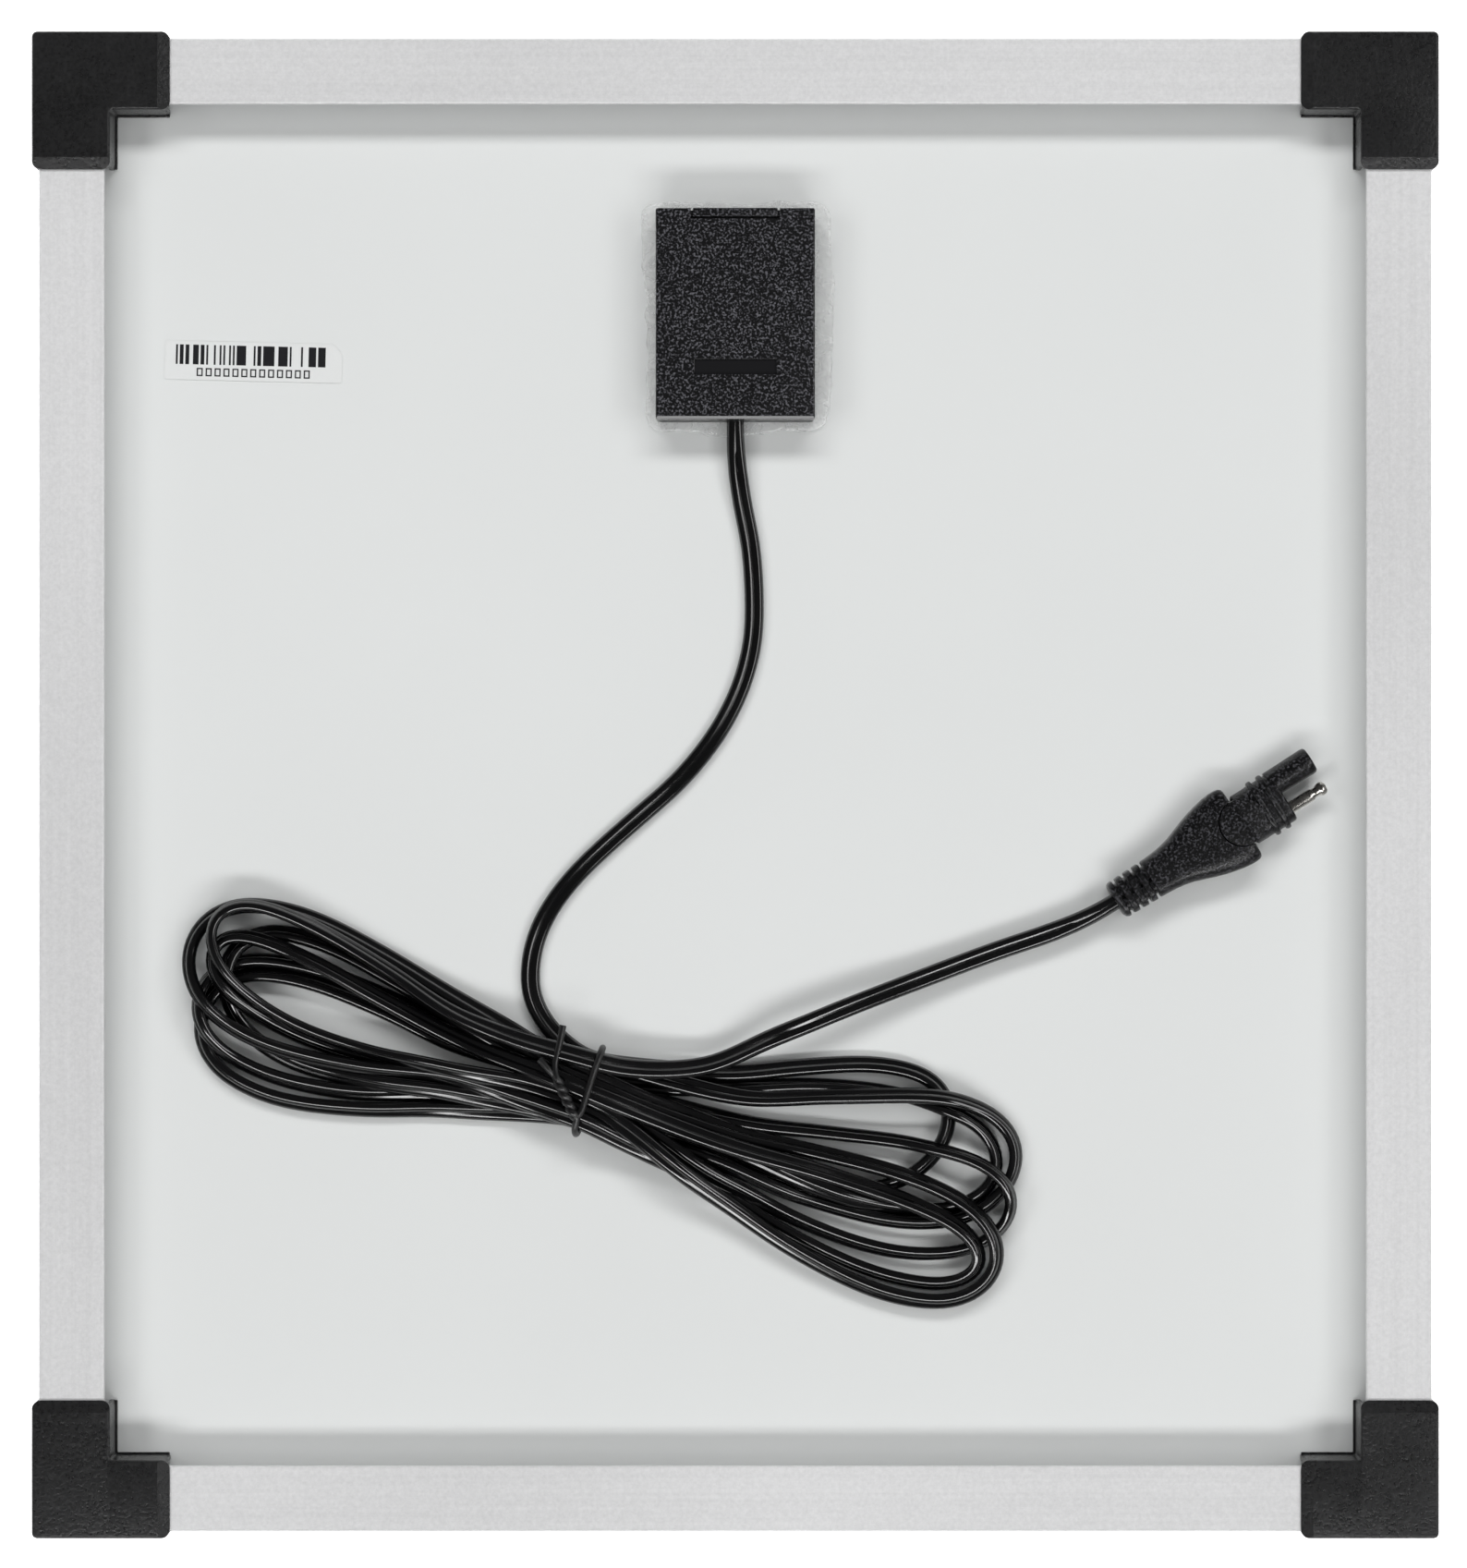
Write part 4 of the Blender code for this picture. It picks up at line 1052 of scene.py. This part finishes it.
def even(values):
    """Each value averaged with its neighbours along the lead."""
    wide = np.vstack([values[:1], values, values[-1:]])
    return 0.25 * wide[:-2] + 0.5 * wide[1:-1] + 0.25 * wide[2:]


def hold_waist(points, half_w, half_h):
    """Keeps the passes through the tie inside it."""
    inside = (np.abs(points[:, 0]) < 5.0) & (np.abs(points[:, 1]) < 20)
    limit = WAIST_HALF - half_w
    across = np.clip(points[:, 1], -limit, limit)
    above = np.clip(points[:, 2], WAIST_LOW, WAIST_HIGH)
    points[:, 1] = np.where(inside, across, points[:, 1])
    points[:, 2] = np.where(inside, above, points[:, 2])
    return points


def roll_along(points, free):
    """How far the flat cord rolls on to its edge: a little in the tie, most where it bends most."""
    ahead = np.roll(points, -4, axis=0) - points
    behind = points - np.roll(points, 4, axis=0)
    turn = np.arctan2(
        behind[:, 0] * ahead[:, 1] - behind[:, 1] * ahead[:, 0],
        behind[:, 0] * ahead[:, 0] + behind[:, 1] * ahead[:, 1],
    )
    sharp = np.clip(np.abs(turn) / 0.8, 0, 1)
    out = np.clip((np.abs(points[:, 0]) - 8) / 34, 0, 1)
    place = np.arange(len(points))
    sway = 9 * np.sin(place / 17.0) + 7 * np.sin(place / 31.0 + 1.0)
    roll = np.radians(14 + 40 * out + 12 * sharp + sway * (0.4 + 0.6 * out)) * -free
    roll = roll[:, None]
    for _ in range(30):
        roll = even(roll)
    return roll[:, 0]


def lead_section(lobe, spacing):
    """The twin cord's outline: two round lobes with a groove between them."""
    points = []
    steps = 11
    for side in (1, -1):
        for k in range(steps + 1):
            angle = math.radians(128 * (2 * k / steps - 1))
            across = spacing + lobe * math.cos(angle)
            points.append((side * across, side * lobe * math.sin(angle)))
        points.append((0.0, side * lobe * 0.66))
    return points


def lead_mesh(name, line, roll, width, thick):
    """Draws the flat twin section along the line and closes its two ends."""
    ahead = np.gradient(line, axis=0)
    ahead /= np.linalg.norm(ahead, axis=1)[:, None]
    side = np.cross(np.array([0.0, 0.0, 1.0]), ahead)
    side /= np.linalg.norm(side, axis=1)[:, None]
    up = np.cross(ahead, side)
    across = side * np.cos(roll)[:, None] + up * np.sin(roll)[:, None]
    above = -side * np.sin(roll)[:, None] + up * np.cos(roll)[:, None]
    lobe = thick / 2
    spacing = width / 2 - lobe
    along = lengths_along(line)
    ends = np.minimum(along, along[-1] - along)
    flat = np.clip((ends - 0.006) / 0.016, 0, 1)
    mesh = bmesh.new()
    rings = []
    for k, spot in enumerate(line):
        shape = lead_section(lobe * (1.34 - 0.34 * flat[k]), spacing * (0.36 + 0.64 * flat[k]))
        rings.append([mesh.verts.new(spot + across[k] * a + above[k] * b) for a, b in shape])
    for ring, following in zip(rings, rings[1:]):
        for k in range(len(ring)):
            n = (k + 1) % len(ring)
            mesh.faces.new((ring[k], ring[n], following[n], following[k]))
    mesh.faces.new(rings[0])
    mesh.faces.new(rings[-1])
    bmesh.ops.recalc_face_normals(mesh, faces=mesh.faces)
    data = bpy.data.meshes.new(name)
    mesh.to_mesh(data)
    mesh.free()
    piece = bpy.data.objects.new(name, data)
    bpy.context.scene.collection.objects.link(piece)
    smooth(piece, 50)
    return piece


def lead_points(width, thick):
    """The settled lead: its points, and its roll at each."""
    step = 2.8
    points = smooth_line(lead_route() * MM, step * MM) / MM
    free = np.ones(len(points))
    free[: round(175 / step)] = 0
    free[-round(100 / step) :] = 0
    roll = roll_along(points, free)
    flat = 0.5 * (width - thick) / MM
    half_w = 0.5 * thick / MM + flat * np.abs(np.cos(roll))
    half_h = 0.5 * thick / MM + flat * np.abs(np.sin(roll))
    points = settle_lead(points, free, half_w, half_h, 320)
    for _ in range(2):
        points[1:-1] = even(points)[1:-1]
    return from_hank(points), roll


def make_lead(material, sizes):
    points, roll = lead_points(sizes.cord_width, sizes.cord_thickness)
    fine = smooth_line(points, 1.5 * MM)
    share = np.linspace(0, 1, len(fine))
    rolls = np.interp(share, np.linspace(0, 1, len(roll)), roll)
    piece = lead_mesh("lead", fine, rolls, sizes.cord_width, sizes.cord_thickness)
    nodes = ["cable_lead_in", "cable_hank", "cable_lead_out"]
    finish_piece(piece, material, "panel", nodes)
    return piece, fine


def wire_piece(name, points, radius):
    """A round wire with filled ends, as a mesh."""
    curve = bpy.data.curves.new(name, "CURVE")
    curve.dimensions = "3D"
    curve.bevel_depth = radius
    curve.bevel_resolution = 4
    curve.use_fill_caps = True
    spline = curve.splines.new("POLY")
    spline.points.add(len(points) - 1)
    for target, point in zip(spline.points, points):
        target.co = (*point, 1.0)
    wire = bpy.data.objects.new(name, curve)
    bpy.context.scene.collection.objects.link(wire)
    activate(wire)
    bpy.ops.object.convert(target="MESH")
    with Editing(wire) as edit:
        edit.all()
        bpy.ops.mesh.remove_doubles(threshold=1e-6)
        bpy.ops.mesh.normals_make_consistent(inside=False)
    smooth(wire, 60)
    return wire


def make_tie(material):
    """The tie: one turn round the bundle, its ends twisted together and bent away."""
    radius = 0.85
    side = WAIST_HALF + radius
    low = BACK_Z / MM + radius + 0.05
    high = 20.0
    start = np.array([-1.6, -7.0, high + 0.3])
    end = np.array([-8.4, 0.9, high + 0.2])
    axis = (end - start) / np.linalg.norm(end - start)
    lateral = np.cross(axis, [0, 0, 1])
    lateral /= np.linalg.norm(lateral)
    normal = np.cross(lateral, axis)
    share = np.linspace(0, 1, 33)[:, None]
    strands = []
    for phase in (0.0, math.pi):
        angle = phase + 2.25 * 2 * math.pi * share
        spiral = lateral * np.cos(angle) + normal * np.sin(angle)
        strands.append(start + (end - start) * share + 0.92 * radius * spiral)
    over = [
        (0.3, 9.5, high),
        (-0.1, 3.0, high + 0.2),
        (-0.3, -3.0, high + 0.2),
        (-0.6, -6.0, high + 0.4),
    ]
    around = [
        (-0.9, -9.6, high - 0.2),
        (-0.4, -side, high - 2.0),
        (0.0, -side, low + 2.2),
        (0.1, -side + 1.6, low),
        (0.2, 0.0, low),
        (0.3, side - 1.6, low),
        (0.4, side, low + 2.2),
        (0.4, side, high - 2.0),
    ]
    long_tail = [(-10.6, 14.4, high - 0.6), (-10.2, 8.5, high - 0.2), (-9.9, 4.2, high)]
    short_tail = [(-10.8, 2.6, high + 0.3), (-14.1, 4.6, high + 0.1)]
    route = [*long_tail, *reversed(strands[0]), *around, *over, *strands[1], *short_tail]
    line = smooth_line(np.array(route), 0.7)
    for _ in range(2):
        line[1:-1] = even(line)[1:-1]
    tie = wire_piece("tie", from_hank(line), radius * MM)
    finish_piece(tie, material, "panel", ["twist_tie"])
    return tie


def length_setting(name, description, default, least):
    return bpy.props.FloatProperty(
        name=name, description=description, default=default, min=least, unit="LENGTH"
    )


def power_setting(name, description, default):
    return bpy.props.FloatProperty(
        name=name, description=description, default=default, min=0.0, unit="POWER"
    )


def colour_setting(name, description, default):
    return bpy.props.FloatVectorProperty(
        name=name, description=description, default=default, min=0.0, max=1.0, subtype="COLOR"
    )


class LeadSizes(bpy.types.PropertyGroup):
    cord_width: length_setting("Cord Width", "Width of the flat twin cord", 0.0049, 0.001)
    cord_thickness: length_setting("Cord Thickness", "Thickness of the twin cord", 0.0026, 0.0005)
    cord_length: length_setting("Cord Length", "Length of the whole lead, turns included", 2.9, 0.1)


class PanelColours(bpy.types.PropertyGroup):
    aluminium: colour_setting("Aluminium", "Colour of the anodised rails", (0.67, 0.67, 0.675))
    cap: colour_setting("Corner Caps", "Colour of the caps' plastic", (0.014, 0.014, 0.0144))
    box: colour_setting(
        "Junction Box", "Colour of the junction box and the connector", (0.009, 0.009, 0.010)
    )
    cord: colour_setting("Cord", "Colour of the lead's jacket", (0.0022, 0.0022, 0.0025))
    backsheet: colour_setting(
        "Backsheet", "Colour of the film on the panel's rear", (0.72, 0.735, 0.73)
    )


class StageSettings(bpy.types.PropertyGroup):
    camera_height: length_setting(
        "Camera Height", "Height of the camera above the panel's rear", 1.3, 0.2
    )
    far_power: power_setting("Far Light", "Power of the softbox beyond the panel", 13.4)
    near_power: power_setting("Near Light", "Power of the softbox on the near side", 11.4)
    side_power: power_setting("Side Lights", "Power of each softbox at the sides", 4.9)
    ceiling: bpy.props.FloatProperty(
        name="Ceiling",
        description="Brightness of the ceiling over the white walls",
        default=0.05,
        min=0.0,
    )


class SOLARPANEL_OT_camera(bpy.types.Operator):
    """Puts the camera straight above the panel's rear"""

    bl_idname = "solar_panel.camera"
    bl_label = "Camera"

    def execute(self, context):
        height = context.scene.solar_stage.camera_height
        seen_width = 0.39374
        data = bpy.data.cameras.new("camera")
        data.sensor_width = 36.0
        data.lens = data.sensor_width * height / seen_width
        data.clip_start = 0.01
        camera = bpy.data.objects.new("camera", data)
        camera.location = (-0.46 * MM, 0.23 * MM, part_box("rail_top")[1][2] + height)
        context.scene.collection.objects.link(camera)
        context.scene.camera = camera
        return {"FINISHED"}


class SOLARPANEL_OT_lead(bpy.types.Operator):
    """Makes the flat twin lead in one length, with its folded turns"""

    bl_idname = "solar_panel.lead"
    bl_label = "Lead"

    def execute(self, context):
        colours, sizes = context.scene.solar_colours, context.scene.solar_lead
        black = jacket("cord_jacket", colours.cord)
        lead, line = make_lead(black, sizes)
        tie = make_tie(jacket("tie_plastic", colours.cord, 0.4))
        rubber = sparked_plastic("plug_rubber", shade_of(colours.box, 0.5)[:3])
        grip, nose = make_grip(rubber), make_nose(rubber)
        contacts = make_contacts(plated_metal("nickel", (0.66, 0.64, 0.60)))
        return {"FINISHED"}


class SOLARPANEL_OT_frame(bpy.types.Operator):
    """Finishes the four rails and makes the corner caps"""

    bl_idname = "solar_panel.frame"
    bl_label = "Frame"

    def execute(self, context):
        colours = context.scene.solar_colours
        for rails, along in ((("rail_top", "rail_bottom"), 0), (("rail_left", "rail_right"), 1)):
            finish = aluminium("anodised_" + "xy"[along], colours.aluminium, along)
            for rail in rails:
                dress_node(rail, finish)
        make_caps(grained_plastic("cap_leather", colours.cap))
        keys = plated_metal("mill_aluminium", (0.62, 0.63, 0.64), 0.4)
        for corner in ("top_left", "top_right", "bottom_left", "bottom_right"):
            dress_node("corner_key_" + corner, keys)
        return {"FINISHED"}


class SOLARPANEL_OT_laminate(bpy.types.Operator):
    """Finishes the glass, the cells, the films and the backsheet, and makes the sticker"""

    bl_idname = "solar_panel.laminate"
    bl_label = "Laminate"

    def execute(self, context):
        colours = context.scene.solar_colours
        dress_node("backsheet", white_film("backsheet_film", colours.backsheet))
        dress_node("front_glass", panel_glass("front_glass", (0.86, 0.92, 0.90)))
        film = cured_film("cured_film", (0.90, 0.91, 0.90))
        dress_node("encapsulant_front", film)
        dress_node("encapsulant_rear", film)
        dress_node("edge_seal", jacket("edge_sealant", (0.75, 0.76, 0.76), 0.5))
        for index in range(1, 5):
            node = f"cell_string_{index}"
            low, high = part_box(node)
            dress_node(node, silicon_cells(node, (low[0] + high[0]) / 2))
        tin = plated_metal("tinned_copper", (0.72, 0.72, 0.70), 0.3)
        for ribbon in ("bus_ribbon_left", "bus_ribbon_right", "bus_ribbon_middle"):
            dress_node(ribbon, tin)
        for ribbon in ("output_ribbon_left", "output_ribbon_right"):
            dress_node(ribbon, tin)
        turn = math.radians(-1.4)
        paper = label_paper("sticker_paper", (0.745, 0.757, 0.752), *label_box(), turn)
        make_label(paper, turn)
        return {"FINISHED"}


class SOLARPANEL_OT_box(bpy.types.Operator):
    """Makes the junction box, its sliding lid and its sealant, and finishes what is inside"""

    bl_idname = "solar_panel.box"
    bl_label = "Junction Box"

    def execute(self, context):
        colours = context.scene.solar_colours
        top, near = LID_HIGH[2], LID_LOW[1]
        make_lid(sparked_plastic("lid_plastic", colours.box, top - 0.45 * MM, near + 0.8 * MM))
        make_base(sparked_plastic("base_plastic", colours.box, top - 0.3 * MM, polish=0.4))
        make_bead(clear_silicone("clear_silicone", (0.96, 0.97, 0.965)))
        tin = plated_metal("terminal_tin", (0.72, 0.72, 0.70), 0.28)
        zinc = plated_metal("zinc_plate", (0.60, 0.60, 0.60), 0.3)
        for node in ("terminal_left", "terminal_right"):
            dress_node(node, tin)
        for node in ("clamp_screw_left", "clamp_screw_right"):
            dress_node(node, zinc)
        dress_node("cable_clamp", grained_plastic("clamp_plastic", colours.cap))
        dress_node("blocking_diode", jacket("diode_epoxy", (0.02, 0.02, 0.02), 0.35))
        dress_node("core_left", jacket("core_red", (0.45, 0.02, 0.02), 0.35))
        dress_node("core_right", jacket("core_black", (0.015, 0.015, 0.016), 0.35))
        return {"FINISHED"}


class SOLARPANEL_OT_stage(bpy.types.Operator):
    """Adds a plain pale floor, four softboxes and a white surround"""

    bl_idname = "solar_panel.stage"
    bl_label = "Stage"

    def execute(self, context):
        stage = context.scene.solar_stage
        deselect_all()
        bpy.ops.mesh.primitive_plane_add(size=8, location=(0, 0, -0.3 * MM))
        floor = context.object
        floor.name = "floor"
        dress(floor, floor_paint("floor_paper", 0.95))
        for name, spot, size, power in (
            ("far_light", (0, 0.98, 1.22), (1.5, 0.26), stage.far_power),
            ("near_light", (0, -0.98, 1.22), (1.5, 0.26), stage.near_power),
            ("left_light", (-1.05, 0, 1.22), (0.42, 1.1), stage.side_power),
            ("right_light", (1.05, 0, 1.22), (0.42, 1.1), stage.side_power),
        ):
            data = bpy.data.lights.new(name, "AREA")
            data.shape = "RECTANGLE"
            data.size, data.size_y = size
            data.energy = power
            light = bpy.data.objects.new(name, data)
            light.location = spot
            x, y, z = spot
            light.rotation_euler = (-math.atan2(y, z), math.atan2(x, z), 0)
            light.visible_glossy = name in ("near_light", "right_light")
            context.scene.collection.objects.link(light)
        context.scene.world = surround(stage.ceiling)
        context.scene.view_settings.view_transform = "Standard"
        return {"FINISHED"}


class SOLARPANEL_PT_pieces(bpy.types.Panel):
    bl_label = "Solar Panel"
    bl_idname = "SOLARPANEL_PT_pieces"
    bl_space_type = "VIEW_3D"
    bl_region_type = "UI"
    bl_category = "Solar Panel"

    def draw(self, context):
        scene = context.scene
        for group, names in (
            (scene.solar_lead, ("cord_width", "cord_thickness", "cord_length")),
            (scene.solar_colours, ("aluminium", "cap", "box", "cord", "backsheet")),
            (
                scene.solar_stage,
                ("camera_height", "far_power", "near_power", "side_power", "ceiling"),
            ),
        ):
            column = self.layout.column(align=True)
            for name in names:
                column.prop(group, name)
        for operator in OPERATORS:
            self.layout.operator(operator.bl_idname)


GROUPS = (LeadSizes, PanelColours, StageSettings)
OPERATORS = (
    SOLARPANEL_OT_camera,
    SOLARPANEL_OT_lead,
    SOLARPANEL_OT_frame,
    SOLARPANEL_OT_laminate,
    SOLARPANEL_OT_box,
    SOLARPANEL_OT_stage,
)


def register():
    for item in (*GROUPS, *OPERATORS, SOLARPANEL_PT_pieces):
        bpy.utils.register_class(item)
    bpy.types.Scene.solar_lead = bpy.props.PointerProperty(type=LeadSizes)
    bpy.types.Scene.solar_colours = bpy.props.PointerProperty(type=PanelColours)
    bpy.types.Scene.solar_stage = bpy.props.PointerProperty(type=StageSettings)


def unregister():
    del bpy.types.Scene.solar_stage
    del bpy.types.Scene.solar_colours
    del bpy.types.Scene.solar_lead
    for item in reversed((*GROUPS, *OPERATORS, SOLARPANEL_PT_pieces)):
        bpy.utils.unregister_class(item)


def main():
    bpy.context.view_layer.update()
    register()
    bpy.ops.solar_panel.camera()
    bpy.ops.solar_panel.lead()
    bpy.ops.solar_panel.frame()
    bpy.ops.solar_panel.laminate()
    bpy.ops.solar_panel.box()
    bpy.ops.solar_panel.stage()


if __name__ == "__main__":
    main()
